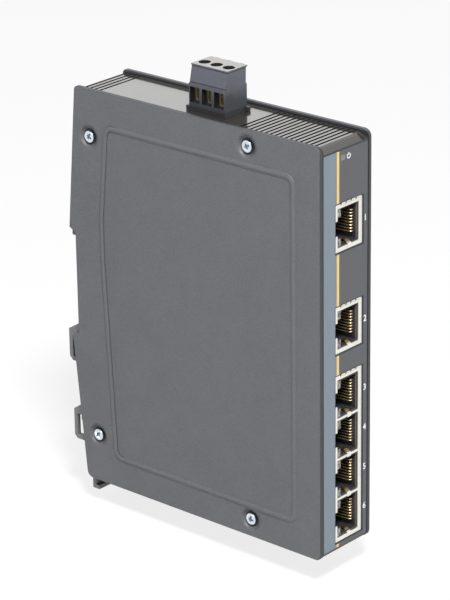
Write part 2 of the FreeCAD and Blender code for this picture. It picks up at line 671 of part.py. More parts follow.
def build_power_light():
    """An elbow of clear plastic from the label to the lamp chip on the board."""
    pipe = new_body("power_light_pipe")
    near_side = across("lamp_across")
    face = panel_front - "label_film"
    elbow = back("lamp_elbow")
    chip = board_left - "chip_rise"
    outline = [
        (near_side, face), (near_side + "lamp_wide", face), (near_side + "lamp_wide", elbow),
        (chip, elbow), (chip, elbow + "lamp_thick"), (near_side, elbow + "lamp_thick"),
    ]
    pad(pipe, "XY", up("lamp_height"), [outline], "lamp_tall")
    led = new_body("power_led")
    y = elbow + size("lamp_thick") / 2
    z = up("lamp_height") + size("lamp_tall") / 2
    long, tall = size("chip_long") / 2, size("chip_tall") / 2
    block(led, (chip, y - long, z - tall), (board_left, y + long, z + tall))


# ---------------------------------------------------------------- circuit board
def build_board():
    body = new_body("main_board")
    low = up("board_foot")
    outline = box_loop(back("board_front_depth"), back("board_front_depth") + "board_length",
                       low, low + "board_tall")
    pad(body, "YZ", board_left, [outline], "board_wall")
    notch = size("post_radius") + "board_notch_gap"
    cut(body, "YZ", board_left, [many_sided(screw_places[1], notch, HIDDEN),
                                 many_sided(screw_places[3], notch, HIDDEN)], "board_wall", reverse=True)
    hole = size("board_screw_radius") + "hole_gap"
    cut(body, "YZ", board_left, [many_sided(place, hole, HIDDEN) for place in board_holes], "board_wall",
        reverse=True)
    gap = size("pin_side") / 2 + "pin_hole_gap"
    z = up("pin_leg_height") + size("pin_side") / 2
    cut(body, "YZ", board_left, [box_loop(y - gap, y + gap, z - gap, z + gap) for y in poles],
        "board_wall", reverse=True)


def build_board_screws():
    screw = new_body("board_screw", kept=False)
    pad(screw, "YZ", -size("board_head_rise"), [many_sided((0, 0), "board_head_radius", HEX)],
        "board_head_rise")
    pad(screw, "YZ", 0, [many_sided((0, 0), "board_screw_radius", HIDDEN)], "board_screw_length")
    group("board_screws", copies(screw, [(board_left, y, z) for y, z in board_holes]))


def on_board(label, y, z, long, tall, rise):
    """A rectangular part seated on the board's face."""
    body = new_body(label)
    block(body, (board_left - rise, y, z), (board_left, y + long, z + tall))
    return body


def build_magnetics():
    solids = []
    for k in (1, 2, 3, 4):
        can = new_body("magnetic_%d" % k, kept=False)
        z = up("magnetic_%d_height" % k)
        block(can, (board_left - "magnetic_rise", back("magnetic_depth"), z),
              (board_left, back("magnetic_depth") + "magnetic_long", z + size("magnetic_%d_tall" % k)))
        dress(can, "Chamfer", "round_edge", lambda e: flat_at(e, board_left - "magnetic_rise"))
        solids.append(can.Shape)
    group("magnetics", solids)


def build_chips():
    """The switch chip with its skirt of leads, the crystal can, the coil, the converter and the fuse."""
    y, z = back("core_depth"), up("core_height")
    chip = on_board("switch_chip", y, z, size("core_side"), size("core_side"), size("core_rise"))
    skirt = (size("core_lead_side") - "core_side") / 2
    block(chip, (board_left - "core_lead_rise", y - skirt, z - skirt),
          (board_left, y + "core_side" + skirt, z + "core_side" + skirt))
    crystal = on_board("crystal", back("crystal_depth"), up("crystal_height"), size("crystal_long"),
                       size("crystal_tall"), size("crystal_rise"))
    dress(crystal, "Chamfer", "crystal_corner", along_x)
    coil = on_board("power_inductor", back("coil_depth"), up("coil_height"), size("coil_side"),
                    size("coil_side"), size("coil_rise"))
    dress(coil, "Chamfer", "coil_corner", along_x)
    y, z = back("converter_depth"), up("converter_height")
    converter = on_board("power_transformer", y, z, size("converter_long"), size("converter_tall"),
                         size("converter_rise"))
    flange = size("converter_flange")
    block(converter, (board_left - flange, y - flange, z - flange),
          (board_left, y + "converter_long" + flange, z + "converter_tall" + flange))
    fuse = new_body("fuse")
    spot = (back("can_depth"), can_middle + "can_radius" + "fuse_clear" + "fuse_radius")
    pad(fuse, "YZ", board_left - "fuse_rise", [many_sided(spot, "fuse_radius", ROUND)], "fuse_rise")


def build_capacitors():
    """Two electrolytic cans that stand side by side."""
    can = new_body("capacitor", kept=False)
    radius = size("can_radius")
    pad(can, "YZ", board_left - "can_rise", [many_sided((0, 0), radius, ROUND)], "can_rise")
    y = back("can_depth")
    group("capacitors", copies(can, [(0, y, can_middle), (0, y + "can_spacing", can_middle)]))


# ---------------------------------------------------------------- power terminal
def build_header():
    """The board header: a shrouded cavity that opens through the frame's top wall."""
    body = new_body("terminal_header")
    low_y, high_y = plug_middle - "plug_half_length", plug_middle + "plug_half_length"
    near_side = across("header_across")
    far_side = near_side + "header_wide"
    block(body, (near_side, low_y, up("header_foot")), (board_left, high_y, up("header_shoulder")))
    block(body, (near_side, low_y, up("header_shoulder")), (far_side, high_y, up("header_rim")))
    end = size("header_end_wall")
    wall = size("header_wall")
    block(body, (near_side + wall, low_y + end, up("header_floor")),
          (far_side - wall - "pin_hole_gap", high_y - end, up("header_rim")), "Pocket")
    rib_low = up("header_rib_height")
    rim = up("header_rim") - "fit_gap"
    block(body, (near_side, high_y, rib_low),
          (near_side + "header_rib_wide", high_y + "header_rib_reach", rim))
    block(body, (far_side - "header_rib_wide", low_y - "header_rib_reach", rib_low),
          (far_side, low_y, rim))
    for y in poles:
        half = size("pin_side") / 2
        cut(body, "XZ", -(y - half), [pin_outline(board_left, up("header_floor"))], "pin_side")
    return body


def pin_outline(leg_end, head_end):
    """An L standing in the header: a leg towards the board and an upright blade."""
    x, z, side = across("pin_across"), up("pin_leg_height"), size("pin_side")
    return [(x, z), (leg_end, z), (leg_end, z + side), (x + side, z + side), (x + side, head_end),
            (x, head_end)]


def build_pins():
    pin = new_body("header_pin", kept=False)
    half = size("pin_side") / 2
    pad(pin, "XZ", half, [pin_outline(board_right + "pin_end", up("pin_top_height"))], "pin_side",
        reverse=True)
    group("header_pins", copies(pin, [(0, y, 0) for y in poles]))


def build_plug():
    """The pluggable terminal: stepped body over a mating foot, with three clamp rooms."""
    body = new_body("plug_housing")
    x = across("plug_across")
    base_low = up("header_rim") + "plug_rest_gap"
    base_high = base_low + "plug_base_tall"
    half = size("plug_base_half")
    base_right = x + "plug_base_wide"
    block(body, (x, plug_middle - half, base_low), (base_right, plug_middle + half, base_high))
    cap_low = base_high + "plug_slope_tall"
    slope = [(x + "plug_slope_start", base_high), (x + "plug_slope_end", cap_low),
             (base_right - "plug_back_end", cap_low), (base_right - "plug_back_start", base_high)]
    pad(body, "XZ", -(plug_middle - half), [slope], half * 2, reverse=True)
    cap = across("plug_cap_across")
    long = size("plug_half_length")
    cap_high = cap_low + "plug_cap_thick"
    block(body, (cap, plug_middle - long, cap_low), (cap + "plug_cap_wide", plug_middle + long, cap_high))
    foot_left = across("header_across") + "header_wall" + "mate_gap"
    foot_right = across("header_across") + "header_wide" - "header_wall" - "pin_hole_gap" - "mate_gap"
    foot_half = size("plug_half_length") - "header_end_wall" - "mate_gap"
    block(body, (foot_left, plug_middle - foot_half, base_low - "mate_reach"),
          (foot_right, plug_middle + foot_half, base_low))
    for y in poles:
        bump = size("plug_bump_long") / 2
        far = cap + "plug_cap_wide"
        block(body, (far, y - bump, cap_low), (far + "plug_bump", y + bump, cap_high))
    for y in poles:
        cut_pole(body, y, cap_high, base_low - "mate_reach")
    return body


def cut_pole(body, y, cap_high, foot_low):
    """One pole's wire entry, clamp room, screw shaft, strap slot and socket."""
    entry, room = size("entry_half"), size("room_half")
    room_left = across("room_across")
    room_right = room_left + "room_wide"
    low = up("entry_low")
    block(body, (across("plug_across"), y - entry, low), (room_left, y + entry, low + "entry_tall"),
          "Pocket")
    room_low = up("room_low")
    room_high = room_low + "room_tall"
    block(body, (room_left, y - room, room_low), (room_right, y + room, room_high), "Pocket")
    spot = (across("shaft_across"), y)
    ledge = room_high + "ledge_thick"
    cut(body, "XY", ledge, [many_sided(spot, "shaft_radius", ROUND)], cap_high - ledge, reverse=True)
    cut(body, "XY", room_high, [many_sided(spot, "ledge_radius", HIDDEN)], "ledge_thick", reverse=True)
    strap = size("strap_half") + "strap_gap"
    strap_right = across("strap_across") + "strap_thick" + "strap_gap"
    link_low = up("socket_high") - "strap_thick"
    socket_left = across("socket_across")
    socket_right = socket_left + "socket_side"
    half = size("socket_side") / 2
    block(body, (socket_left, y - half, foot_low), (socket_right, y + half, up("socket_high")), "Pocket")
    block(body, (socket_right, y - strap, link_low), (strap_right, y + strap, up("socket_high")), "Pocket")
    block(body, (across("strap_across") - "strap_gap", y - strap, up("socket_high")),
          (strap_right, y + strap, up("bar_high") + "fit_gap"), "Pocket")


def build_plug_contacts():
    """A square socket folded into a strap that ends as the clamp's pressure bar."""
    part = new_body("plug_contact", kept=False)
    x, side = across("socket_across"), size("socket_side")
    half, wall = side / 2, size("socket_wall")
    high, thick = up("socket_high"), size("strap_thick")
    strap, strap_half = across("strap_across"), size("strap_half")
    block(part, (x, -half, up("socket_low")), (x + side, half, high))
    block(part, (x + wall, -half + wall, up("socket_low")), (x + side - wall, half - wall, high - thick),
          "Pocket")
    block(part, (x + side, -strap_half, high - thick), (strap + thick, strap_half, high))
    block(part, (strap, -strap_half, high), (strap + thick, strap_half, up("bar_high")))
    block(part, (across("bar_across"), -strap_half, up("bar_high") - thick),
          (strap, strap_half, up("bar_high")))
    group("plug_contacts", copies(part, [(0, y, 0) for y in poles]))


def build_clamps():
    """For each pole a rising cage and the screw that lifts it."""
    for number, y in enumerate(poles, start=1):
        cage = new_body("clamp_cage_%d" % number)
        x, half, low = across("cage_across"), size("cage_half"), up("cage_low")
        wall, high = size("cage_wall"), low + "cage_tall"
        x_end = x + "cage_wide"
        block(cage, (x, y - half, low), (x_end, y + half, high))
        block(cage, (x, y - half + wall, low + "cage_floor"), (x_end, y + half - wall, high - "cage_floor"),
              "Pocket")
        spot = (across("shaft_across"), y)
        thread = size("clamp_shank_radius") + "thread_gap"
        cut(cage, "XY", high - "cage_floor", [], "cage_floor", reverse=True, circles=[(spot, thread)])
        screw = new_body("clamp_screw_%d" % number)
        seat = up("room_low") + "room_tall" + "ledge_thick"
        tip = up("bar_high") + "clamp_tip_gap"
        pad(screw, "XY", tip, [], seat - tip, circles=[(spot, "clamp_shank_radius")])
        pad(screw, "XY", seat, [many_sided(spot, "clamp_head_radius", ROUND)], "clamp_head_rise")
        head = size("clamp_head_radius")
        slot = size("slot_wide") / 2
        crest = seat + "clamp_head_rise"
        block(screw, (spot[0] - head, y - slot, crest - "slot_deep"), (spot[0] + head, y + slot, crest),
              "Pocket")


# ---------------------------------------------------------------- rail latch
def build_latch():
    """The sliding rail latch: a plate with two slots and a spring window, and two cheeks with loops."""
    body = new_body("rail_latch")
    side = inner_right - "latch_side_gap"
    face = channel + "latch_gap"
    rear = face + "latch_plate"
    foot = bottom - "tongue_drop"
    block(body, (-side, face, foot), (side, rear, up("latch_top_height")))
    lip = size("tongue_lip")
    block(body, (-side, face - lip, foot), (side, face, foot + lip))
    slot = size("stud_wide") / 2 + "stud_gap"
    block(body, (-slot, face, up("stud_upper") - "stud_gap"), (slot, rear, up("latch_top_height")), "Pocket")
    window = size("window_wide") / 2
    window_low = up("shelf_height") - "shelf_gap"
    window_high = up("shelf_height") + "shelf_thick" + "spring_length"
    block(body, (-window, face, window_low), (window, rear, window_high), "Pocket")
    block(body, (-slot, face, up("stud_lower") - "stud_gap"), (slot, rear, window_low), "Pocket")
    for start, away in ((-side, False), (side, True)):
        pad(body, "YZ", start, [loop_outline(rear), loop_window()], "cheek_wall", reverse=away)
        pad(body, "YZ", start, [ear_outline(rear), ear_window()], "cheek_wall", reverse=away)
    nose_rear = hook_front + "nose_back"
    fall = size("nose_fall") / (back("loop_back") - hook_front) * "nose_back"
    nose = [(hook_front, up("loop_window_high")), (nose_rear, up("loop_window_high")),
            (nose_rear, up("nose_high") - fall), (hook_front, up("nose_high"))]
    inner = side - "cheek_wall"
    pad(body, "YZ", -inner, [nose], inner * 2)
    block(body, (-inner, back("ear_bar_depth"), up("ear_bar_low")),
          (inner, back("ear_bar_back"), up("ear_bar_high")))


def loop_outline(rear):
    """The upper loop, whose top is the nose that hooks behind the rail."""
    return [
        (rear, up("loop_low")), (back("loop_back") - "loop_corner", up("loop_low")),
        (back("loop_back"), up("loop_low") + "loop_corner"),
        (back("loop_back"), up("nose_high") - "nose_fall"),
        (hook_front, up("nose_high")), (hook_front, up("loop_high")), (rear, up("loop_high")),
    ]


def loop_window():
    return box_loop(back("loop_window_depth"), back("loop_back") - "loop_strip",
                    up("loop_window_low"), up("loop_window_high"))


def ear_outline(rear):
    """The lower ear, a grip for pulling the latch down."""
    return [
        (rear, up("ear_low")), (back("ear_back") - "ear_front_corner", up("ear_low")),
        (back("ear_back"), up("ear_low") + "ear_front_corner"),
        (back("ear_back"), up("ear_high") - "ear_slope"),
        (back("ear_back") - "ear_slope_run", up("ear_high")), (rear, up("ear_high")),
    ]


def ear_window():
    return box_loop(back("ear_window_depth"), back("ear_back") - "ear_strip",
                    up("ear_window_low"), up("ear_window_high"))


def build_spring():
    """A compression spring between the shelf and the window's upper edge: a six-sided wire along a helix."""
    coil = float(size("spring_radius") - "spring_wire")
    height = float(size("spring_length") - size("spring_wire") * 2)
    turns = float(size("spring_turns"))
    steps = int(turns * SPRING_STEPS)
    path = []
    for k in range(steps + 1):
        angle = 2 * math.pi * turns * k / steps
        path.append(FreeCAD.Vector(coil * math.cos(angle), coil * math.sin(angle), height * k / steps))
    start = path[1] - path[0]
    ring = Part.makeCircle(float(size("spring_wire")), path[0], start).discretize(Number=WIRE_SIDES + 1)
    profile = Part.makePolygon(ring[:-1] + ring[:1])
    wire = Part.makePolygon(path).makePipeShell([profile], True, False, 1)
    behind = channel + "spring_radius" + "spring_wall_gap"
    foot = up("shelf_height") + "shelf_thick" + "spring_wire"
    wire.translate(FreeCAD.Vector(0, float(behind), float(foot)))
    group("latch_spring", [wire])


build_cover("left_cover", -1)
build_right_cover()
build_cover_screws()
build_frame()
build_panel()
build_label()
for jack in JACKS:
    build_shield(jack)
    build_insert(jack)
    build_contacts(jack)
build_port_lights()
build_power_light()
build_board()
build_board_screws()
build_magnetics()
build_chips()
build_capacitors()
build_header()
build_pins()
build_plug()
build_plug_contacts()
build_clamps()
build_latch()
build_spring()
doc.recompute()

faults = [item.Label for item in doc.Objects if "Invalid" in item.State or "Error" in item.State]
for node in NODES:
    if node.Shape.isNull() or not node.Shape.isValid():
        faults.append(node.Label)
if faults:
    raise RuntimeError("faulty objects: " + ", ".join(faults))

os.makedirs("parts", exist_ok=True)
for node in NODES:
    node.Shape.exportStep(os.path.join("parts", node.Label + ".step"))
    print(node.Label, len(node.Shape.Solids), round(node.Shape.Volume, 1))
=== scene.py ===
"""Narrow network switch for a rail: two painted side covers on a moulded frame, jacks down the front,
a pull-off power terminal on top and a sliding latch behind. Metres; +Z is up, -Y is the front."""
import math

import bmesh
import bpy
import numpy as np
from mathutils import Matrix, Vector


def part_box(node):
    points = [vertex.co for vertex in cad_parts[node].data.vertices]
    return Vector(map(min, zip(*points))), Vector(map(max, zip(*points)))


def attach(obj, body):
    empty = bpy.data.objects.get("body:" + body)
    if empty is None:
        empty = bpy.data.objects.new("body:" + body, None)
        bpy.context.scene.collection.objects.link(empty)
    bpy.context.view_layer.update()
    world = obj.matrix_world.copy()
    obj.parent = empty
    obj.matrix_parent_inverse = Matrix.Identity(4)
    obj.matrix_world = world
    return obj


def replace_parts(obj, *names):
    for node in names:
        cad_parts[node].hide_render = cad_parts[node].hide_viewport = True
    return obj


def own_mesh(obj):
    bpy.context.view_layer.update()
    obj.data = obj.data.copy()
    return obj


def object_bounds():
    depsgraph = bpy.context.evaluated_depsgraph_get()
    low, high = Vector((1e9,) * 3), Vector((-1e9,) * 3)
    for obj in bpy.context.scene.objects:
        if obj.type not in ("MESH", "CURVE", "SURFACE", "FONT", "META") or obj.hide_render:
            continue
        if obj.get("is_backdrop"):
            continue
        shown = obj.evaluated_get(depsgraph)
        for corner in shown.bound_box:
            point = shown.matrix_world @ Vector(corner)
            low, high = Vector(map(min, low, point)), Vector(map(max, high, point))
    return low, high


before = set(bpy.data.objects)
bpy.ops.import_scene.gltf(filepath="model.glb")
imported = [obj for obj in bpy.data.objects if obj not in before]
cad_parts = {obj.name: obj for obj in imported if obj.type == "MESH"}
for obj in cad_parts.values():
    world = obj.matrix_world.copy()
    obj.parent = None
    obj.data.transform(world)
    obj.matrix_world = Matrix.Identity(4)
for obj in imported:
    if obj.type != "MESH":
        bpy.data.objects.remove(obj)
cad_low, cad_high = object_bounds()

MM = 0.001


# ---- Side covers ------------------------------------------------------------------------------------
# Two pressed plates, 1.6 mm thick, with a raised bead and four sunk screw seats. Their powder coat is a
# neutral dark grey with a fine leathery grain. They close the frame from either side, and the right one
# carries the board.
class Level:
    """One number that varies over a surface. Arithmetic on it adds the Math nodes that work it out."""

    def __init__(self, nodes, socket):
        self.nodes = nodes
        self.socket = socket

    def _math(self, operation, first, second):
        node = self.nodes.node("ShaderNodeMath", {"operation": operation}, {0: first, 1: second})
        return Level(self.nodes, node.outputs[0])

    def __add__(self, other):
        return self._math("ADD", self, other)

    def __sub__(self, other):
        return self._math("SUBTRACT", self, other)

    def __rsub__(self, other):
        return self._math("SUBTRACT", other, self)

    def __mul__(self, other):
        return self._math("MULTIPLY", self, other)

    __radd__ = __add__
    __rmul__ = __mul__

    def over(self, limit):
        """1 where the number lies over the limit, and 0 elsewhere."""
        return self._math("GREATER_THAN", self, limit)

    def under(self, limit):
        """1 where the number lies under the limit, and 0 elsewhere."""
        return self._math("LESS_THAN", self, limit)

    def between(self, low, high):
        """1 where the number lies between the two limits, and 0 elsewhere."""
        return self.over(low) * self.under(high)

    def ramp(self, start, end):
        """0 up to start, 1 from end on, and smooth between them."""
        node = self.nodes.node("ShaderNodeMapRange", {"interpolation_type": "SMOOTHSTEP"},
                               {"Value": self, "From Min": start, "From Max": end})
        return Level(self.nodes, node.outputs["Result"])

    def larger(self, other):
        """The larger of the two numbers, which joins two masks."""
        return self._math("MAXIMUM", self, other)

    def beyond(self, start):
        """How far the number lies past start, and 0 before it."""
        return (self - start).larger(0.0)


class Nodes:
    """The nodes of a material or of the world."""

    def __init__(self, owner):
        owner.use_nodes = True
        self.tree = owner.node_tree

    def fill(self, socket, value):
        """Link a level or a colour to the socket, or set the socket to a constant."""
        value = value.socket if isinstance(value, Level) else value
        if isinstance(value, bpy.types.NodeSocket):
            self.tree.links.new(value, socket)
        else:
            socket.default_value = value

    def node(self, kind, settings, inputs):
        """A node of that kind, with its settings made first and its sockets filled next."""
        made = self.tree.nodes.new(kind)
        for name, value in settings.items():
            setattr(made, name, value)
        for name, value in inputs.items():
            self.fill(made.inputs[name], value)
        return made


class Finish(Nodes):
    """A material in the making, patterned in the object's own metres."""

    def __init__(self, name, **constants):
        self.material = bpy.data.materials.new(name)
        super().__init__(self.material)
        self.surface = self.tree.nodes["Principled BSDF"]
        self.give(**constants)
        self.place = self.node("ShaderNodeTexCoord", {}, {}).outputs["Object"]

    def axes(self):
        """The place on the surface as three numbers, across, back and up."""
        split = self.node("ShaderNodeSeparateXYZ", {}, {"Vector": self.place})
        return [Level(self, split.outputs[i]) for i in range(3)]

    def speckle(self, grain, detail=2.0, stretch=(1, 1, 1)):
        """Noise of about 0 to 1 whose lumps are grain millimetres across, and longer where stretch is less
        than 1."""
        turned = self.node("ShaderNodeMapping", {}, {"Vector": self.place, "Scale": stretch})
        noise = self.node("ShaderNodeTexNoise", {}, {"Vector": turned.outputs[0], "Scale": 1 / (grain * MM),
                                                     "Detail": detail, "Roughness": 0.55})
        return Level(self, noise.outputs["Fac"])

    def cells(self, grain):
        """Distance to the middle of the nearest cell, for a grain of small domes."""
        made = self.node("ShaderNodeTexVoronoi", {}, {"Vector": self.place, "Scale": 1 / (grain * MM)})
        return Level(self, made.outputs["Distance"])

    def shade(self, mask, first, second):
        """The first colour where the mask is 0, and the second where it is 1."""
        made = self.node("ShaderNodeMix", {"data_type": "RGBA"}, {0: mask, 6: first, 7: second})
        return made.outputs[2]

    def give(self, **looks):
        """Fill the surface's sockets of those names."""
        for name, value in looks.items():
            self.fill(self.surface.inputs[name.replace("_", " ")], value)

    def relief(self, height, depth):
        """Raise the surface by height times depth millimetres."""
        bump = self.node("ShaderNodeBump", {}, {"Height": height, "Distance": depth * MM, "Strength": 1.0})
        self.give(Normal=bump.outputs[0])


def tint(red, green, blue):
    """The colour of that screen value, 0 to 255 a channel, as linear light."""
    screen = np.array([red, green, blue]) / 255
    light = np.where(screen <= 0.04045, screen / 12.92, ((screen + 0.055) / 1.055) ** 2.4)
    return (*light.tolist(), 1.0)


def dress(finish, *nodes):
    """Give each of the frame's nodes its finish."""
    for node in nodes:
        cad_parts[node].material_slots[0].material = finish.material


def span(node):
    """The node's lowest and highest corners, in millimetres."""
    return [np.array(corner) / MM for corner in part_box(node)]


def grid_faces(rows, columns, first):
    """Quads between neighbouring rows and columns of a grid whose points are numbered on from first."""
    row, column = np.meshgrid(np.arange(rows - 1), np.arange(columns - 1), indexing="ij")
    corner = first + row * columns + column
    return np.stack([corner, corner + 1, corner + columns + 1, corner + columns], -1).reshape(-1, 4)


def piece(name, grids, finish, body, smooth=35):
    """A new object from grids of points in millimetres, of shape (rows, columns, 3). Seams and poles are
    merged, faces turned outwards, and edges up to smooth degrees shaded as round."""
    counts = np.cumsum([0] + [grid.shape[0] * grid.shape[1] for grid in grids])
    points = np.concatenate([grid.reshape(-1, 3) for grid in grids]) * MM
    faces = np.concatenate([grid_faces(*grid.shape[:2], first) for grid, first in zip(grids, counts)])
    mesh = bpy.data.meshes.new(name)
    mesh.from_pydata(points.tolist(), [], faces.tolist())
    shell = bmesh.new()
    shell.from_mesh(mesh)
    bmesh.ops.remove_doubles(shell, verts=shell.verts, dist=1e-7)
    bmesh.ops.recalc_face_normals(shell, faces=shell.faces)
    shell.to_mesh(mesh)
    shell.free()
    mesh.shade_smooth()
    mesh.set_sharp_from_angle(angle=math.radians(smooth))
    mesh.materials.append(finish.material)
    made = bpy.data.objects.new(name, mesh)
    bpy.context.collection.objects.link(made)
    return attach(made, body)


# The case's corner is the left cover's outer face, front edge and foot. Millimetres from here on.
CASE_WIDTH = 25.4
BEAD_RISE = 0.35
cover_low, cover_high = span("left_cover")
CASE = cover_low + np.array([BEAD_RISE, 0, 0])
CASE_TALL = cover_high[2] - cover_low[2]
CASE_TOP = CASE[2] + CASE_TALL
OUTER_RIGHT = CASE[0] + CASE_WIDTH
CORNER = 2.5
SKIN = 0.01

# The coat carries painted shade near the rounded corners, within the first width below, and most where they
# turn to the front. A painted highlight makes it a little paler again on the right cover's top rim. Painted
# shade lies at the bead's foot, most of all at the back. The coat turns dark on the inner sides, between the
# two depths given behind each outer face.
EDGE_SHADE = 0.4
SHADE_TURN = (0.2 * CORNER, 0.9 * CORNER)
RIM_HIGHLIGHT = 0.6
BEAD_FOOT = 0.24
FOOT_FADE = (84.0, 88.0)
FOOT_FAINT = 0.2
INSIDE_LEFT = (0.6, 0.85)
INSIDE_RIGHT = (1.1, 1.3)

# A screw's seat is a dish: flat in the middle, and DISH_DEEP times the coat's relief lower there than at
# its mouth. Each place is (back, up) from the case's corner.
SCREW_PLACES = ((97.5, 123.7), (29.6, 134.6), (97.5, 17.2), (29.6, 6.3))
DISH_FLOOR = 2.4
DISH_MOUTH = 4.5
DISH_DEEP = 14.0
COAT_RELIEF = 0.05

paint = Finish("cover_paint", Specular_IOR_Level=0.42)
paint_grain = paint.cells(0.42)
paint_cloud = paint.speckle(9.0, detail=3.0)
paint_coat = paint.shade(paint_grain * 0.7 + paint_cloud * 0.3, tint(101, 102, 106), tint(79, 80, 84))
paint_across, paint_back, paint_up = paint.axes()
paint_left = paint_across.ramp(*((CASE[0] + depth) * MM for depth in INSIDE_LEFT))
paint_right = paint_across.ramp(*((OUTER_RIGHT - depth) * MM for depth in INSIDE_RIGHT))
# Painted highlight: the right cover's top rim is painted paler.
paint_rim_highlight = paint_across.over(0) * paint_up.over((CASE_TOP - RIM_HIGHLIGHT) * MM)
# Painted shade along the rounded edges: darker where they face up, darkest where they turn to the front.
paint_ahead = ((CASE[1] + CORNER) * MM - paint_back).larger(0.0)
paint_above = paint_up.beyond((CASE_TOP - CORNER) * MM)
paint_above = paint_above + ((CASE[2] + CORNER) * MM - paint_up).larger(0.0)
paint_edge = (paint_ahead * paint_ahead + paint_above * paint_above).ramp(
    ((CORNER - EDGE_SHADE) * MM) ** 2, ((CORNER - EDGE_SHADE / 2) * MM) ** 2)
paint_turn = paint_ahead.ramp(*(depth * MM for depth in SHADE_TURN))
paint_edge_shade = paint.shade(paint_turn, tint(74, 75, 79), tint(54, 55, 58))
paint_coat = paint.shade(paint_edge, paint_coat, paint_edge_shade)
# Painted shade at the bead's foot, stronger towards the back.
paint_foot_shade = paint_across.between((CASE[0] - BEAD_FOOT) * MM, (CASE[0] - SKIN) * MM)
paint_foot_shade = paint_foot_shade + paint_across.between((OUTER_RIGHT + SKIN) * MM, (OUTER_RIGHT + BEAD_FOOT) * MM)
paint_rear = paint_back.ramp(*((CASE[1] + depth) * MM for depth in FOOT_FADE))
paint_foot_shade = paint_foot_shade * (paint_rear * (1 - FOOT_FAINT) + FOOT_FAINT)
paint_coat = paint.shade(paint_foot_shade, paint_coat, tint(62, 63, 67))
paint_coat = paint.shade(paint_left * paint_right, paint_coat, tint(40, 41, 44))
paint.give(Base_Color=paint.shade(paint_rim_highlight, paint_coat, tint(78, 79, 83)),
           Roughness=paint_cloud * 0.12 + 0.46)
paint_dish = 0.0
for depth, height in SCREW_PLACES:
    dish_back = paint_back - (CASE[1] + depth) * MM
    dish_up = paint_up - (CASE[2] + height) * MM
    dish = (dish_back * dish_back + dish_up * dish_up).ramp((DISH_FLOOR * MM) ** 2, (DISH_MOUTH * MM) ** 2)
    paint_dish = dish * DISH_DEEP + paint_dish
paint.relief(paint_grain * -1.0 + paint.speckle(0.9) * 0.6 + paint_dish, COAT_RELIEF)
dress(paint, "right_cover", "left_cover")

# The bead is pressed out of each cover's wall: a soft ridge round the field between the four screws.
BEAD_WIDE = 2.6
BEAD_PROUD = 0.55
BEAD_SUNK = 0.02
BEAD_BEND = 3.5
BEAD_CORNERS = np.array([(11.0, 11.2), (11.0, CASE_TALL - 11.6), (89.9, CASE_TALL - 11.6), (92.9, 96.0),
                         (92.9, 82.0), (89.3, 11.2)])


def rounded_loop(corners, radius, steps=10):
    """A closed path through corners in a plane: each corner gives way to a quarter-like bend, a quadratic
    curve from the point that lies radius before it to the point that lies radius past it."""
    to_last = np.roll(corners, 1, 0) - corners
    to_next = np.roll(corners, -1, 0) - corners
    start = corners + to_last / np.linalg.norm(to_last, axis=1)[:, None] * radius
    end = corners + to_next / np.linalg.norm(to_next, axis=1)[:, None] * radius
    t = np.linspace(0, 1, steps)[None, :, None]
    bend = (1 - t) ** 2 * start[:, None] + 2 * t * (1 - t) * corners[:, None] + t ** 2 * end[:, None]
    path = bend.reshape(-1, 2)
    return np.vstack([path, path[:1]])


def ridge(path, wide, proud, face, outward):
    """A half-cosine ridge carried along a path in a cover's plane; its base lies just under the face."""
    ahead = np.roll(path[:-1], -1, 0) - np.roll(path[:-1], 1, 0)
    ahead /= np.linalg.norm(ahead, axis=1)[:, None]
    side = np.stack([-ahead[:, 1], ahead[:, 0]], 1)
    side = np.vstack([side, side[:1]])
    across = np.linspace(-1, 1, 11)
    rise = proud * (1 + np.cos(math.pi * across)) / 2
    across, rise = np.append(across, across[0]), np.append(rise, rise[0])
    flat = path[:, None] + side[:, None] * (across * wide / 2)[None, :, None]
    out = np.broadcast_to(face + outward * (rise - BEAD_SUNK), flat.shape[:2])
    return np.dstack([out, flat])


bead_path = rounded_loop(BEAD_CORNERS, BEAD_BEND) + CASE[1:]
for bead_name, face, outward in (("bead_left", CASE[0], -1), ("bead_right", OUTER_RIGHT, 1)):
    bead = [ridge(bead_path, BEAD_WIDE, BEAD_PROUD, face, outward)]
    piece(bead_name, bead, paint, "housing", smooth=60)


# ---- Body frame -------------------------------------------------------------------------------------
# One glossy moulding in dark grey plastic between the covers: top, rear and foot walls, the vents' ribs,
# the rail seat and its hook. The top is rubbed dull along its right edge, and the front bevel shines less.
RUBBED_RIGHT = (1.5, 1.1)
RUBBED_DULL = 0.85
BEVEL_BACK = (2.8, 2.3)
BEVEL_DULL = 0.75
frame_low, frame_high = span("body_frame")

moulding = Finish("frame_plastic", Specular_IOR_Level=0.7, Coat_Roughness=0.05, Coat_IOR=1.5)
moulding_cloud = moulding.speckle(6.0, detail=3.0)
moulding_across, moulding_back = moulding.axes()[:2]
moulding_rubbed = moulding_across.ramp(*((frame_high[0] - inset) * MM for inset in RUBBED_RIGHT))
moulding_bevel = moulding_back.ramp(*((frame_low[1] + depth) * MM for depth in BEVEL_BACK))
moulding_shine = (1 - moulding_rubbed * RUBBED_DULL) * (1 - moulding_bevel * BEVEL_DULL)
moulding.give(Base_Color=moulding.shade(moulding_cloud, tint(46, 44, 40), tint(40, 38, 35)),
              Roughness=moulding_cloud * 0.08 + moulding_rubbed * 0.4 + 0.14,
              Coat_Weight=(moulding_cloud * 0.2 + 0.43) * moulding_shine)
moulding.relief(moulding.speckle(0.6), depth=0.002)
dress(moulding, "body_frame")


# ---- Circuit board and its parts --------------------------------------------------------------------
# Green glass-epoxy board, screwed to the right cover's four standoffs. Transformers, the switch chip, a
# canned crystal, capacitors, the power converter's coils and a fuse stand on it, out of sight.
lacquer = Finish("board_green", Specular_IOR_Level=0.5)
lacquer_tracks = lacquer.speckle(1.6, detail=1.0, stretch=(1, 0.25, 1)).ramp(0.52, 0.56)
lacquer.give(Base_Color=lacquer.shade(lacquer_tracks, tint(16, 92, 52), tint(30, 116, 66)),
             Roughness=lacquer_tracks * 0.1 + 0.3)
lacquer.relief(lacquer_tracks, depth=0.03)
dress(lacquer, "main_board")

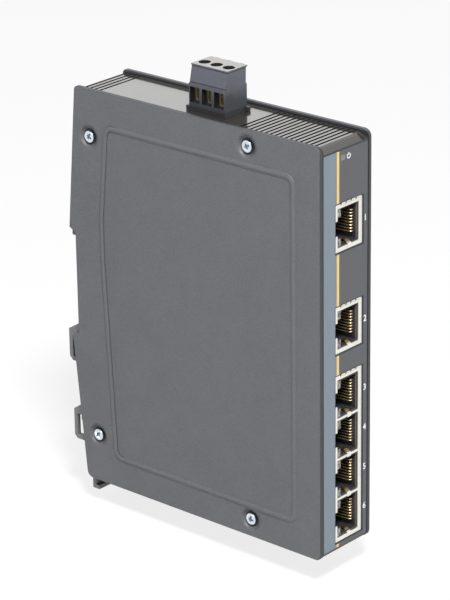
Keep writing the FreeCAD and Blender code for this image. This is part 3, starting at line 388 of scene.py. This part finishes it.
resin = Finish("chip_black", Specular_IOR_Level=0.4)
resin_grain = resin.speckle(0.2)
resin.give(Base_Color=resin.shade(resin_grain, tint(34, 34, 35), tint(46, 46, 47)),
           Roughness=resin_grain * 0.15 + 0.5)
resin.relief(resin_grain, depth=0.01)
dress(resin, "magnetics", "switch_chip", "power_inductor", "power_transformer")

sleeve = Finish("can_sleeve", Specular_IOR_Level=0.5)
sleeve_cloud = sleeve.speckle(2.0)
sleeve.give(Base_Color=sleeve.shade(sleeve_cloud, tint(26, 30, 44), tint(36, 40, 56)),
            Roughness=sleeve_cloud * 0.1 + 0.3)
dress(sleeve, "capacitors")

cartridge = Finish("fuse_tan", Specular_IOR_Level=0.5)
cartridge_cloud = cartridge.speckle(1.2)
cartridge.give(Base_Color=cartridge.shade(cartridge_cloud, tint(168, 132, 84), tint(150, 116, 72)),
               Roughness=cartridge_cloud * 0.1 + 0.4)
dress(cartridge, "fuse")


def plated(name, bright, dull, roughness, brushed=(1, 1, 1)):
    """Plated or bare metal: clouds of tarnish, and fine lines where brushed stretches its grain."""
    metal = Finish(name, Metallic=1.0)
    lines = metal.speckle(0.12, stretch=brushed)
    tarnish = metal.speckle(1.8, detail=3.0)
    metal.coat = metal.shade(tarnish, bright, dull)
    metal.give(Base_Color=metal.coat, Roughness=tarnish * 0.12 + lines * 0.08 + roughness)
    metal.relief(lines, 0.003)
    return metal


tin = plated("tin", tint(214, 210, 200), tint(184, 180, 170), roughness=0.26)
dress(tin, "crystal", "header_pins", "plug_contacts")


# ---- Network jacks ----------------------------------------------------------------------------------
# Two single jacks and one block of four: a folded nickel-plated shield round a black insert, with eight
# gold-plated spring wires in each mouth. Plated fingers and leaves of spring bronze ground the shield.
# Behind the lip they are painted darker and browner: partly bare bronze, partly painted shade inside the
# mouth.
nickel = plated("nickel", tint(246, 244, 238), tint(226, 223, 215), roughness=0.3,
                brushed=(1, 0.2, 1))
# Painted darker behind the lip: bare bronze, and painted shade inside the mouth.
BARE_AND_SHADE_DEPTH = (0.25, 0.6)
lip_front = span("jack_1_shield")[0][1]
bronze = plated("spring_bronze", tint(246, 244, 238), tint(226, 223, 215), roughness=0.3)
bronze_uncoated_and_shaded = bronze.axes()[1].ramp(*((lip_front + depth) * MM for depth in BARE_AND_SHADE_DEPTH))
bronze.give(Base_Color=bronze.shade(bronze_uncoated_and_shaded, bronze.coat, tint(152, 128, 88)))

PORT_PITCH = 13.97
SHIELD_WALL = 0.25
LIP_THICK = 0.3
LIP_OPEN_SIDE = 1.05
LIP_BOARD_SIDE = 1.75
MOUTH_END_LIP = 1.4
MOUTH_PARTITION = 0.8
NOTCH_HALF = 2.45
NOTCH_DEEP = 1.5
FINGERS = 4
FINGER_WIDE = 1.75
FINGER_STEP = 2.45
FINGER_SHIFT = 0.5
FINGER_PROUD = 0.45
FINGER_REACH = 3.2
FINGER_AHEAD = 0.36
LEAF_WIDE = 1.8
LEAF_ACROSS = 6.9
LEAF_DROP = 1.05
LEAF_RISE = 1.2
LEAF_REACH = 4.6
SHEET = 0.14
JACK_PORTS = {"jack_1": 1, "jack_2": 1, "jack_block": 4}


def spaced(count, pitch):
    """That many numbers, one pitch apart, about 0."""
    return pitch * (np.arange(count) - (count - 1) / 2)


def box_grids(low, high):
    """The six faces of a box, as one grid of four sides and a flat grid at either end."""
    (x0, y0, z0), (x1, y1, z1) = low, high
    turn = [(x0, z0), (x1, z0), (x1, z1), (x0, z1), (x0, z0)]
    sides = np.array([[(x, y, z) for x, z in turn] for y in (y0, y1)])
    ends = [np.array([[(x0, y, z0), (x1, y, z0)], [(x0, y, z1), (x1, y, z1)]]) for y in (y0, y1)]
    return [sides, *ends]


def lip_grids(xs, zs, solid, front, rear):
    """A flat plate from a board of cells, solid[column, row]: faces before and behind each solid cell, and a
    side wherever a solid cell meets an open one."""
    walls = np.pad(solid, 1)
    grids = []
    for i, k in np.argwhere(solid):
        x0, x1, z0, z1 = xs[i], xs[i + 1], zs[k], zs[k + 1]
        for y in (front, rear):
            grids.append(np.array([[(x0, y, z0), (x1, y, z0)], [(x0, y, z1), (x1, y, z1)]]))
        edges = (((x0, z0), (x0, z1), walls[i, k + 1]), ((x1, z0), (x1, z1), walls[i + 2, k + 1]),
                 ((x0, z0), (x1, z0), walls[i + 1, k]), ((x0, z1), (x1, z1), walls[i + 1, k + 2]))
        for start, end, filled in edges:
            if not filled:
                grids.append(np.array([[(x, y, z) for x, z in (start, end)] for y in (front, rear)]))
    return grids


def strip(path, width):
    """A flat spring of even width, one sheet thick, along a path of (back, up) points; its section is a flat
    ring across, and each end closes on its own middle."""
    along = np.gradient(path, axis=0)
    along /= np.linalg.norm(along, axis=1)[:, None]
    normal = np.stack([-along[:, 1], along[:, 0]], 1) * SHEET / 2
    ring = [(-1, -1), (1, -1), (1, 1), (-1, 1), (-1, -1)]
    grid = np.stack([np.column_stack([np.full(len(path), side * width / 2), path + normal * up])
                     for side, up in ring], 1)
    ends = [np.repeat(grid[i].mean(0)[None, None], len(ring), 1) for i in (0, -1)]
    return np.concatenate([ends[0], grid, ends[1]])


def smooth_line(points, steps):
    """An even curve through the points: a cubic between each two that leaves along its neighbours' chord."""
    points = np.asarray(points, float)
    ends = np.vstack([2 * points[0] - points[1], points, 2 * points[-1] - points[-2]])
    t = np.linspace(0, 1, steps, endpoint=False)[None, :, None]
    a, b, c, d = (ends[i:len(ends) - 3 + i, None] for i in range(4))
    rounding = (2 * a - 5 * b + 4 * c - d) * t ** 2 / 2 + (3 * b - a - 3 * c + d) * t ** 3 / 2
    curve = b + (c - a) * t / 2 + rounding
    return np.vstack([curve.reshape(-1, points.shape[1]), points[-1:]])


def finger_path(top, front):
    """An outer contact finger: up the lip's face, forward round a raised tip, and back along the shell."""
    face = front - SHEET / 2 - SKIN
    tip = face - FINGER_AHEAD
    return smooth_line([(face, top - 0.9), (face - 0.05, top - 0.4), (tip, top + 0.05),
                        (tip, top + FINGER_PROUD - 0.1), (tip + 0.15, top + 0.16), (face + 0.3, top + 0.12),
                        (face + FINGER_REACH, top + SHEET / 2)], steps=4)


def leaf_path(sill, front):
    """A grounding leaf: up the lip's face, over the mouth's sill, a bulge, and back down to the sill."""
    face = front - SHEET / 2 - SKIN
    return smooth_line([(face, sill - LEAF_DROP), (face, sill - 0.1), (face + 0.05, sill + 0.2),
                        (face + 0.4, sill + 0.4), (face + 2.0, sill + LEAF_RISE),
                        (face + LEAF_REACH, sill + 0.15)], steps=4)


port_middles = []
for jack, ports in JACK_PORTS.items():
    low, high = span(jack + "_shield")
    middles = (low[2] + high[2]) / 2 + spaced(ports, PORT_PITCH)
    port_middles += list(middles[::-1])
    ends = [low[2] + MOUTH_END_LIP]
    for lower, upper in zip(middles[:-1], middles[1:]):
        ends += [(lower + upper - MOUTH_PARTITION) / 2, (lower + upper + MOUTH_PARTITION) / 2]
    ends.append(high[2] - MOUTH_END_LIP)
    mouths = np.array(ends).reshape(-1, 2)
    zs = np.sort(np.concatenate([[low[2], high[2]], *mouths, middles - NOTCH_HALF, middles + NOTCH_HALF]))
    xs = np.array([low[0], low[0] + LIP_OPEN_SIDE, high[0] - LIP_BOARD_SIDE, high[0]])
    cell = (zs[:-1] + zs[1:]) / 2
    open_mouth = np.any((cell[None] > mouths[:, :1]) & (cell[None] < mouths[:, 1:]), 0)
    open_notch = np.any(np.abs(cell[None] - middles[:, None]) < NOTCH_HALF, 0)
    solid = np.stack([~open_notch, ~open_mouth, np.ones(len(cell), bool)])
    grids = lip_grids(xs, zs, solid, low[1], low[1] + LIP_THICK)
    left, right = low[0] + SHIELD_WALL, high[0] - SHIELD_WALL
    bottom, roof = low[2] + SHIELD_WALL, high[2] - SHIELD_WALL
    for x0, x1, z0, z1, setback in ((low[0], left, low[2], high[2], NOTCH_DEEP),
                                    (right, high[0], low[2], high[2], LIP_THICK),
                                    (left, right, low[2], bottom, LIP_THICK),
                                    (left, right, roof, high[2], LIP_THICK)):
        grids += box_grids((x0, low[1] + setback, z0), (x1, high[1], z1))
    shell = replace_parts(piece(jack + "_shell", grids, nickel, "housing"), jack + "_shield")
    finger = strip(finger_path(high[2], low[1]), FINGER_WIDE)
    finger_middle = (low[0] + high[0]) / 2 + FINGER_SHIFT
    springs = [finger + np.array([finger_middle + aside, 0, 0]) for aside in spaced(FINGERS, FINGER_STEP)]
    for sill in mouths[:, 0]:
        leaf = strip(leaf_path(sill, low[1]), LEAF_WIDE)
        springs.append(leaf + np.array([low[0] + LEAF_ACROSS, 0, 0]))
    piece(jack + "_springs", springs, bronze, "housing", smooth=50)

# A narrow painted highlight runs down the right of each insert, just behind the lip.
LIT_WIDE = 2.0
LIT_DEPTH = (0.15, 0.45)
black = Finish("jack_black", Specular_IOR_Level=0.45)
black_grain = black.speckle(0.3)
black_body = black.shade(black_grain, tint(40, 40, 42), tint(50, 50, 53))
black_across, black_back = black.axes()[:2]
insert_low, insert_high = span("jack_1_insert")
black_lit = black_across.over((insert_high[0] - LIT_WIDE) * MM)
black_lit = black_lit * black_back.between(*((insert_low[1] + depth) * MM for depth in LIT_DEPTH))
black.give(Base_Color=black.shade(black_lit, black_body, tint(116, 113, 108)),
           Roughness=black_grain * 0.15 + 0.36)
black.relief(black_grain, depth=0.006)
dress(black, "jack_1_insert", "jack_2_insert", "jack_block_insert", "terminal_header")

gold = plated("gold", tint(255, 236, 194), tint(236, 208, 154), roughness=0.24)

# Each contact is one round wire: out of the insert's right wall, round a nose behind the mouth, and
# back down a sloping arm to the depth of the cavity.
WIRE_RADIUS = 0.2
WIRE_PITCH = 1.016
WIRES = 8

# The wire's line: its points are steps left from the contacts' right side and back from the nose, and the
# arm's end is a step right from their left side and back from the nose.
WIRE_NOSE = ((0, 4.0), (0.1, 1.3), (0.45, 0.4), (1.0, 0.22), (1.45, 0.7), (1.75, 2.4))
WIRE_END = (0.25, 9.2)


def wire(path, radius, sides=8):
    """A round wire along a path: a circle in the plane square to the path at each point, closed at both
    ends on the path itself."""
    along = np.gradient(path, axis=0)
    along /= np.linalg.norm(along, axis=1)[:, None]
    first = np.cross(along, (0.0, 0.0, 1.0))
    first /= np.linalg.norm(first, axis=1)[:, None]
    second = np.cross(along, first)
    turn = np.linspace(0, 2 * math.pi, sides + 1)[None, :, None]
    grid = path[:, None] + radius * (first[:, None] * np.cos(turn) + second[:, None] * np.sin(turn))
    ends = [np.repeat(path[i][None, None], sides + 1, 1) for i in (0, -1)]
    return np.concatenate([ends[0], grid, ends[1]])


for jack, ports in JACK_PORTS.items():
    low, high = span(jack + "_contacts")
    middles = (low[2] + high[2]) / 2 + spaced(ports, PORT_PITCH)
    points = [(high[0] - left, low[1] + back, 0) for left, back in WIRE_NOSE]
    points.append((low[0] + WIRE_END[0], low[1] + WIRE_END[1], 0))
    bent = wire(smooth_line(points, steps=5), WIRE_RADIUS)
    heights = (middles[:, None] + spaced(WIRES, WIRE_PITCH)).ravel()
    wires = [bent + np.array([0, 0, z]) for z in heights]
    contacts = piece(jack + "_wires", wires, gold, "housing", smooth=60)
    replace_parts(contacts, jack + "_contacts")


# ---- Front panel ------------------------------------------------------------------------------------
# Flat grey plastic plate let in between the covers, with an opening for each jack. A printed film covers
# it: a bare blue-grey band on the left with a golden stripe beside it. Painted shade darkens the film along
# its top and round the openings. Places across are counted from the case's left side.
BAND_RIGHT = 7.95
STRIPE = (8.15, 9.4)
STRIPE_EDGE = 10.05
GAP_SHADE_WIDE = 0.55
TOP_SHADE_WIDE = 0.4

film_low, film_high = span("front_label")

plate = Finish("panel_plastic", Specular_IOR_Level=0.45)
plate_grain = plate.speckle(0.35)
plate.give(Base_Color=plate.shade(plate_grain, tint(72, 75, 80), tint(64, 67, 72)),
           Roughness=plate_grain * 0.12 + 0.44)
plate.relief(plate_grain, depth=0.01)
dress(plate, "front_panel")

film = Finish("label_film", Specular_IOR_Level=0.5)
film_side, _, film_up = film.axes()
film_across = (film_side - CASE[0] * MM) * (1 / MM)
film_grain = film.speckle(0.5)
film_ground = film.shade(film_grain, tint(75, 77, 82), tint(69, 71, 76))
film_band = film.shade(film_across.under(BAND_RIGHT), film_ground, tint(106, 117, 127))
film_edge = film.shade(film_across.between(STRIPE[1], STRIPE_EDGE), film_band, tint(94, 78, 42))
film_stripe = film.shade(film_across.between(*STRIPE), film_edge, tint(198, 176, 124))
# Painted shade along the film's top edge and round each jack's opening.
film_gap_shade = film_up.over((film_high[2] - TOP_SHADE_WIDE) * MM)
for jack in JACK_PORTS:
    low, high = span(jack + "_shield")
    around_opening = film_side.between((low[0] - GAP_SHADE_WIDE) * MM, (high[0] + GAP_SHADE_WIDE) * MM)
    film_gap_shade = around_opening * film_up.between((low[2] - GAP_SHADE_WIDE) * MM, (high[2] + GAP_SHADE_WIDE) * MM) + film_gap_shade
film.give(Base_Color=film.shade(film_gap_shade, film_stripe, tint(40, 41, 43)), Roughness=film_grain * 0.1 + 0.4)
film.relief(film_grain, depth=0.004)
dress(film, "front_label")

# White print on the film: a number right of each jack, and the power mark beside its light.
DIGIT_TALL = 2.05
DIGIT_ACROSS = 22.4
DIGIT_BOLD = 0.035
DIGIT_LIFT = 0.3
CAPITAL_SHARE = 0.69
PRINT_THICK = 0.03
MARK_PLACE = (14.1, 134.2)
MARK_RADIUS = 0.78
MARK_STROKE = 0.3
MARK_GAP = 0.62
MARK_STEPS = 33
MARK_BAR = (0.15, 1.35)

ink = Finish("white_print", Specular_IOR_Level=0.4)
ink_grain = ink.speckle(0.4)
ink.give(Base_Color=ink.shade(ink_grain, tint(230, 232, 235), tint(212, 214, 218)),
         Roughness=ink_grain * 0.1 + 0.45)
film_face = film_low[1]


def printed(name, text, across, up):
    """A character as a thin plate on the film's face, its middle at that place."""
    letters = bpy.data.curves.new(name, "FONT")
    letters.body = text
    letters.size = DIGIT_TALL / CAPITAL_SHARE * MM
    letters.extrude = PRINT_THICK / 2 * MM
    letters.offset = DIGIT_BOLD * MM
    letters.align_x = "CENTER"
    holder = bpy.data.objects.new(name, letters)
    bpy.context.collection.objects.link(holder)
    bpy.context.view_layer.update()
    mesh = bpy.data.meshes.new_from_object(holder.evaluated_get(bpy.context.evaluated_depsgraph_get()))
    bpy.data.objects.remove(holder)
    place = Vector((across, film_face - PRINT_THICK / 2, up - DIGIT_TALL / 2)) * MM
    mesh.transform(Matrix.Translation(place) @ Matrix.Rotation(math.radians(90), 4, "X"))
    mesh.materials.clear()
    mesh.materials.append(ink.material)
    made = bpy.data.objects.new(name, mesh)
    bpy.context.collection.objects.link(made)
    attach(made, "housing")


for number, z in enumerate(port_middles, start=1):
    printed("digit_%d" % number, str(number), CASE[0] + DIGIT_ACROSS, z + DIGIT_LIFT)

# The power mark: a ring open at its top, of a flat section carried round, and a bar in the gap whose ends
# are given in shares of the ring's radius.
mark = np.array([CASE[0] + MARK_PLACE[0], film_face, CASE[2] + MARK_PLACE[1]])
turn = np.linspace(math.pi / 2 + MARK_GAP, math.pi * 5 / 2 - MARK_GAP, MARK_STEPS)[:, None]
ring = np.array([(1, 0), (1, -PRINT_THICK), (-1, -PRINT_THICK), (-1, 0), (1, 0)])
reach = MARK_RADIUS + ring[:, 0] * MARK_STROKE / 2
arc = np.dstack([reach * np.cos(turn), np.broadcast_to(ring[:, 1], (MARK_STEPS, len(ring))),
                 reach * np.sin(turn)])
bar_low = (-MARK_STROKE / 2, -PRINT_THICK, MARK_RADIUS * MARK_BAR[0])
bar_high = (MARK_STROKE / 2, 0, MARK_RADIUS * MARK_BAR[1])
mark_grids = [arc + mark] + [grid + mark for grid in box_grids(bar_low, bar_high)]
piece("power_mark", mark_grids, ink, "housing")


# ---- Light windows ----------------------------------------------------------------------------------
# Clear moulded light pipes: two windows in each port, and one elbow that leads the board's power light to
# its window in the panel.
clear = Finish("light_clear", Specular_IOR_Level=0.6, Transmission_Weight=0.25, IOR=1.49)
clear_lines = clear.speckle(0.8, detail=3.0, stretch=(1, 1, 0.5)).ramp(0.42, 0.62)
clear.give(Base_Color=clear.shade(clear_lines, tint(84, 80, 71), tint(158, 156, 148)),
           Roughness=clear_lines * 0.1 + 0.18)
clear.relief(clear_lines, depth=0.04)
dress(clear, "port_lights")

lens = Finish("power_light", Specular_IOR_Level=0.6, Transmission_Weight=0.2, IOR=1.49)
lens_cloud = lens.speckle(0.6)
lens.give(Base_Color=lens.shade(lens_cloud, tint(124, 132, 141), tint(106, 114, 124)),
          Roughness=lens_cloud * 0.1 + 0.2)
dress(lens, "power_light_pipe", "power_led")


# ---- Cover screws -----------------------------------------------------------------------------------
# Zinc-plated steel pan heads with a cross recess, four in each cover, sunk in dished seats. Their threads
# go into the frame's posts. The screws of the board and of the clamps have a like plating.
inner_zinc = plated("inner_zinc", tint(222, 228, 236), tint(190, 197, 208), roughness=0.2)
dress(inner_zinc, "board_screws", "clamp_screw_1", "clamp_screw_2", "clamp_screw_3")

zinc = plated("zinc", tint(236, 241, 248), tint(206, 213, 224), roughness=0.2)
# Painted shade: below the covers' outer faces the zinc is painted darker and bluer, in the cross and round
# the head.
zinc_sunk_shade = zinc.axes()[0].between((CASE[0] + 2 * SKIN) * MM, (OUTER_RIGHT - 2 * SKIN) * MM)
zinc.give(Base_Color=zinc.shade(zinc_sunk_shade, zinc.coat, tint(132, 143, 158)))

SCREW_TURNS = (25, 62, 40, 12)
HEAD_RADIUS = 2.06
HEAD_TALL = 1.2
HEAD_PROUD = 0.3
DOME = 0.28
EDGE_ROUND = 0.3
CROSS_HALF = 1.35
CROSS_WIDE = 0.42
CROSS_DEEP = 0.7
CROSS_WALL = 0.1
CROSS_SLOPE = 0.9
RINGS_INSIDE = (0, 1.45, 15)
RINGS_OUTSIDE = (1.55, HEAD_RADIUS, 8)
SHANK_RADIUS = 1.2
SHANK_LONG = 7.4
POINT_LONG = 1.2
THREAD_PITCH = 0.8
THREAD_DEEP = 0.16


def screw_head(sides=56):
    """A pan head seen from above as (out, sideways, up) points: a dome with a rounded edge, and in it a
    cross whose four arms deepen towards the middle. Even rings cover the cross, and closer ones the edge."""
    reach = np.concatenate([np.linspace(*RINGS_INSIDE), np.linspace(*RINGS_OUTSIDE)])
    turn = np.linspace(0, 2 * math.pi, sides + 1)
    reach, turn = np.meshgrid(reach, turn, indexing="ij")
    side, up = reach * np.cos(turn), reach * np.sin(turn)
    edge = np.clip((reach - HEAD_RADIUS + EDGE_ROUND) / EDGE_ROUND, 0, 1)
    dome = HEAD_TALL - DOME * (reach / HEAD_RADIUS) ** 2 - EDGE_ROUND * (1 - np.sqrt(1 - edge ** 2))

    def arm(along, aside):
        inside = np.clip((CROSS_WIDE - np.abs(aside)) / CROSS_WALL, 0, 1)
        return inside * np.clip((CROSS_HALF - np.abs(along)) / CROSS_SLOPE, 0, 1)

    return np.dstack([dome - CROSS_DEEP * np.maximum(arm(side, up), arm(up, side)), side, up])


def screw_shank(sides=20, rows=44):
    """A threaded shank: a cylinder whose radius swells and shrinks once a pitch along a helix, with the
    head's underside as its first ring and a short point at its end."""
    turn = np.linspace(0, 2 * math.pi, sides + 1)[None, :]
    down = np.linspace(0, SHANK_LONG, rows)[:, None]
    swell = np.abs(((down / THREAD_PITCH + turn / (2 * math.pi)) % 1) * 2 - 1)
    point = np.clip((SHANK_LONG + POINT_LONG / 2 - down) / POINT_LONG, 0, 1)
    radius = (SHANK_RADIUS - THREAD_DEEP * swell) * point
    out = np.broadcast_to(-down, radius.shape)
    shank = np.dstack([out, radius * np.cos(turn), radius * np.sin(turn)])
    tip = np.broadcast_to(np.array([-SHANK_LONG, 0, 0]), (1, sides + 1, 3))
    return np.concatenate([shank, tip])


head = screw_head()
rim = head[-1:]
base = rim * np.array([0, 1, 1])
skirt = np.concatenate([rim, base, base * 0])
shank = screw_shank()
screw_grids = []
for outward, face in ((-1, CASE[0]), (1, OUTER_RIGHT)):
    for (depth, height), angle in zip(SCREW_PLACES, SCREW_TURNS):
        seat = np.array([face - outward * (HEAD_TALL - HEAD_PROUD), CASE[1] + depth, CASE[2] + height])
        turned = np.array(Matrix.Rotation(math.radians(angle), 3, "X")).T
        for grid in (head, skirt, shank):
            screw_grids.append(grid @ turned * np.array([outward, 1, 1]) + seat)
screws = piece("cover_screw_set", screw_grids, zinc, "housing", smooth=30)
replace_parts(screws, "cover_screws")


# ---- Power terminal ---------------------------------------------------------------------------------
# Three-pole terminal of 5.08 mm pitch. The black header stands on the board; the grey plug pulls
# off upwards with its brass cages, clamp screws and tinned socket strips.
nylon = Finish("plug_grey", Specular_IOR_Level=0.45)
nylon_across, nylon_back, nylon_up = nylon.axes()
nylon_cloud = nylon.speckle(1.4, detail=3.0)
plug_low, plug_high = span("plug_housing")
screw_low, screw_high = span("clamp_screw_2")
POLES = 3
POLE_PITCH = 5.08
SHAFT_ACROSS = 12.4
SHAFT_RADIUS = 2.05
ROOM_HALF = 2.07
ROOM_LOW, ROOM_HIGH = CASE[2] + 141.05, CASE[2] + 146.75
LEDGE_HIGH = CASE[2] + 147.86
CAP_LOW = CASE[2] + 153.34
SHADE_FADE = (CASE[2] + 143.0, CASE[2] + 149.0)
SHADOW_LINE = 0.34
SHADOW_LINE_REACH = 0.9
ARCH_ACROSS = 2.3
ARCH_DROP = 3.6
ARCH_RADIUS = 2.0
ARCH_REACH = 0.6
TOP_SKIN = 0.05
ROOM_SKIN = 0.03
ROOM_REAR = 1.0
# The plug is painted paler above and darker below: painted shade on its lower part.
nylon_pale = nylon.shade(nylon_cloud, tint(85, 87, 96), tint(75, 77, 86))
nylon_shaded = nylon.shade(nylon_cloud, tint(62, 65, 69), tint(54, 57, 61))
nylon_body = nylon.shade(nylon_up.ramp(*(height * MM for height in SHADE_FADE)), nylon_shaded, nylon_pale)

# Painted shadow lines: one over the ledge on the left side and one under the cap all round; painted shade
# fills an arch on the front end.
nylon_shadow_line = nylon_up.between(LEDGE_HIGH * MM, (LEDGE_HIGH + SHADOW_LINE) * MM)
nylon_shadow_line = nylon_shadow_line * nylon_across.under((plug_low[0] + SHADOW_LINE_REACH) * MM)
nylon_shadow_line = nylon_shadow_line + nylon_up.between((CAP_LOW - SHADOW_LINE) * MM, CAP_LOW * MM)
nylon_aside = nylon_across - (plug_low[0] + ARCH_ACROSS) * MM
nylon_over = nylon_up.beyond((LEDGE_HIGH - ARCH_DROP) * MM)
nylon_arch_shade = (nylon_aside * nylon_aside + nylon_over * nylon_over).under((ARCH_RADIUS * MM) ** 2)
nylon_arch_shade = nylon_arch_shade * nylon_back.under((plug_low[1] + ARCH_REACH) * MM)
nylon_body = nylon.shade(nylon_arch_shade, nylon_body, nylon_shaded)
nylon_shadow_lined = nylon.shade(nylon_shadow_line, nylon_body, tint(40, 41, 44))
# Painted reflection: the plug's top face is painted pale.
top_face_reflection = nylon_up.over((plug_high[2] - TOP_SKIN) * MM)
nylon_with_reflection = nylon.shade(top_face_reflection, nylon_shadow_lined, tint(150, 148, 146))

# Painted shade: the walls of each pole's screw shaft and wire room are painted near black.
nylon_shaft = nylon_across - (CASE[0] + SHAFT_ACROSS) * MM
nylon_shaft = nylon_shaft * nylon_shaft
nylon_inside_shade = 0.0
for pole in spaced(POLES, POLE_PITCH):
    aside = nylon_back - ((screw_low[1] + screw_high[1]) / 2 + pole) * MM
    shaft = (nylon_shaft + aside * aside).under((SHAFT_RADIUS * MM) ** 2)
    room = aside.between(-ROOM_HALF * MM, ROOM_HALF * MM) * nylon_up.between(ROOM_LOW * MM, ROOM_HIGH * MM)
    room = room * nylon_across.between((plug_low[0] + ROOM_SKIN) * MM, (plug_high[0] - ROOM_REAR) * MM)
    nylon_inside_shade = shaft.larger(room) + nylon_inside_shade
nylon_inside_shade = nylon_inside_shade * nylon_up.under((plug_high[2] - SKIN) * MM)
nylon.give(Base_Color=nylon.shade(nylon_inside_shade, nylon_with_reflection, tint(22, 22, 23)),
           Roughness=nylon_cloud * 0.14 + 0.4)
nylon.relief(nylon.speckle(0.22), depth=0.01)
dress(nylon, "plug_housing")

brass = plated("brass", tint(250, 242, 216), tint(228, 216, 182), roughness=0.34)
dress(brass, "clamp_cage_1", "clamp_cage_2", "clamp_cage_3")


# ---- Rail latch -------------------------------------------------------------------------------------
# Grey moulded slider behind the frame: a foot tongue to pull down, a nose that grips the rail and
# side loops that guide it. A steel spring returns it.
slider = Finish("latch_grey", Specular_IOR_Level=0.45)
slider_cloud = slider.speckle(2.2, detail=3.0)
slider.give(Base_Color=slider.shade(slider_cloud, tint(112, 113, 115), tint(100, 100, 101)),
            Roughness=slider_cloud * 0.12 + 0.4)
slider.relief(slider.speckle(0.3), depth=0.01)
dress(slider, "rail_latch")

steel = plated("spring_steel", tint(196, 196, 198), tint(160, 160, 164), roughness=0.24)

# The spring is a helix whose first and last turn lie nearly flat: each takes only COIL_CLOSED of the
# height. COIL_WIRE is the wire's radius.
COIL_TURNS = 7
COIL_STEPS = 28
COIL_WIRE = 0.25
COIL_CLOSED = 0.06
coil_low, coil_high = span("latch_spring")
coil_tall = coil_high[2] - coil_low[2]
coil_radius = (coil_high[1] - coil_low[1]) / 2 - COIL_WIRE
coil_turn = np.linspace(0, 2 * math.pi * COIL_TURNS, COIL_TURNS * COIL_STEPS + 1)
coil_rise = np.interp(coil_turn / (2 * math.pi), [0, 1, COIL_TURNS - 1, COIL_TURNS],
                      [0, COIL_CLOSED, 1 - COIL_CLOSED, 1])
coil_path = np.column_stack([
    coil_radius * np.cos(coil_turn), coil_radius * np.sin(coil_turn) + (coil_low[1] + coil_high[1]) / 2,
    coil_low[2] + COIL_WIRE + coil_rise * (coil_tall - 2 * COIL_WIRE)])
coil = piece("return_spring", [wire(coil_path, COIL_WIRE)], steel, "housing", smooth=60)
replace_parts(coil, "latch_spring")
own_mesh(coil)


# ---- Floor, lamps and camera ------------------------------------------------------------------------
# White floor a little under the latch's lowest reach. A small key lamp stands above the front left, a weak
# one before the front and a wide one behind the right. A long lens looks from the front left above.
FLOOR_DROP = 5.0
FLOOR_REACH = 3.0
FLOOR_GLOW = 0.8
SKY_LIGHT = 0.33
floor_mesh = bpy.data.meshes.new("floor")
floor_mesh.from_pydata([(-FLOOR_REACH, -FLOOR_REACH, 0), (FLOOR_REACH, -FLOOR_REACH, 0),
                        (FLOOR_REACH, FLOOR_REACH, 0), (-FLOOR_REACH, FLOOR_REACH, 0)], [], [(0, 1, 2, 3)])
floor_mesh.transform(Matrix.Translation((0, 0, cad_low.z - FLOOR_DROP * MM)))
floor = bpy.data.objects.new("floor", floor_mesh)
bpy.context.collection.objects.link(floor)
floor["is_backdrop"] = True


def rays(nodes, *kinds):
    """For each kind of light ray, 1 where such a ray meets the surface, and 0 elsewhere."""
    path = nodes.node("ShaderNodeLightPath", {}, {})
    return [Level(nodes, path.outputs["Is %s Ray" % kind]) for kind in kinds]


# Where the floor is looked at, also in a gloss or through clear plastic, it mostly glows white.
ground = Finish("floor_white", Base_Color=(0.86, 0.86, 0.86, 1), Roughness=0.9, Specular_IOR_Level=0.0)
glow = ground.node("ShaderNodeEmission", {}, {"Color": (1, 1, 1, 1), "Strength": 1.0})
looked, mirrored, through = rays(ground, "Camera", "Glossy", "Transmission")
mixed = ground.node("ShaderNodeMixShader", {}, {0: (looked + mirrored + through) * FLOOR_GLOW,
                                                1: ground.surface.outputs[0], 2: glow.outputs[0]})
ground.fill(ground.tree.nodes["Material Output"].inputs["Surface"], mixed.outputs[0])
floor_mesh.materials.append(ground.material)

# The sky is white where it is looked at or mirrored, and lights the part with SKY_LIGHT of that.
sky = bpy.data.worlds.new("studio")
bpy.context.scene.world = sky
studio = Nodes(sky)
looked, mirrored = rays(studio, "Camera", "Glossy")
backdrop = studio.tree.nodes["Background"]
studio.fill(backdrop.inputs["Color"], (1, 1, 1, 1))
studio.fill(backdrop.inputs["Strength"], looked.larger(mirrored) * (1 - SKY_LIGHT) + SKY_LIGHT)


def lamp(name, place, target, size, power):
    """A square soft lamp at place, facing target, size metres wide, of that power in watts."""
    light = bpy.data.lights.new(name, "AREA")
    light.size = size
    light.energy = power
    made = bpy.data.objects.new(name, light)
    made.location = place
    made.rotation_euler = (Vector(target) - Vector(place)).to_track_quat("-Z", "Y").to_euler()
    bpy.context.collection.objects.link(made)


middle = (cad_low + cad_high) / 2
lamp("lamp_key", (-0.48, -0.62, 1.0), middle, size=0.2, power=21.0)
lamp("lamp_front", (0.25, -1.0, 0.25), middle, size=0.6, power=1.0)
lamp("lamp_back", (0.95, 0.85, 0.62), middle, size=1.1, power=2.2)

CAMERA_PLACE = (-0.6598, -0.6342, 0.3510)
CAMERA_TURN = math.radians(-48.715)
CAMERA_TILT = math.radians(-21.58)
CAMERA_ROLL = math.radians(0.836)
CAMERA_LENS = 173.9
camera = bpy.data.objects.new("camera", bpy.data.cameras.new("camera"))
camera.data.lens = CAMERA_LENS
aim = Matrix.Rotation(CAMERA_TURN, 4, "Z") @ Matrix.Rotation(math.radians(90) + CAMERA_TILT, 4, "X")
camera.matrix_world = Matrix.Translation(CAMERA_PLACE) @ aim @ Matrix.Rotation(-CAMERA_ROLL, 4, "Z")
bpy.context.collection.objects.link(camera)
bpy.context.scene.camera = camera
bpy.context.scene.view_settings.view_transform = "Standard"

low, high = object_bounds()
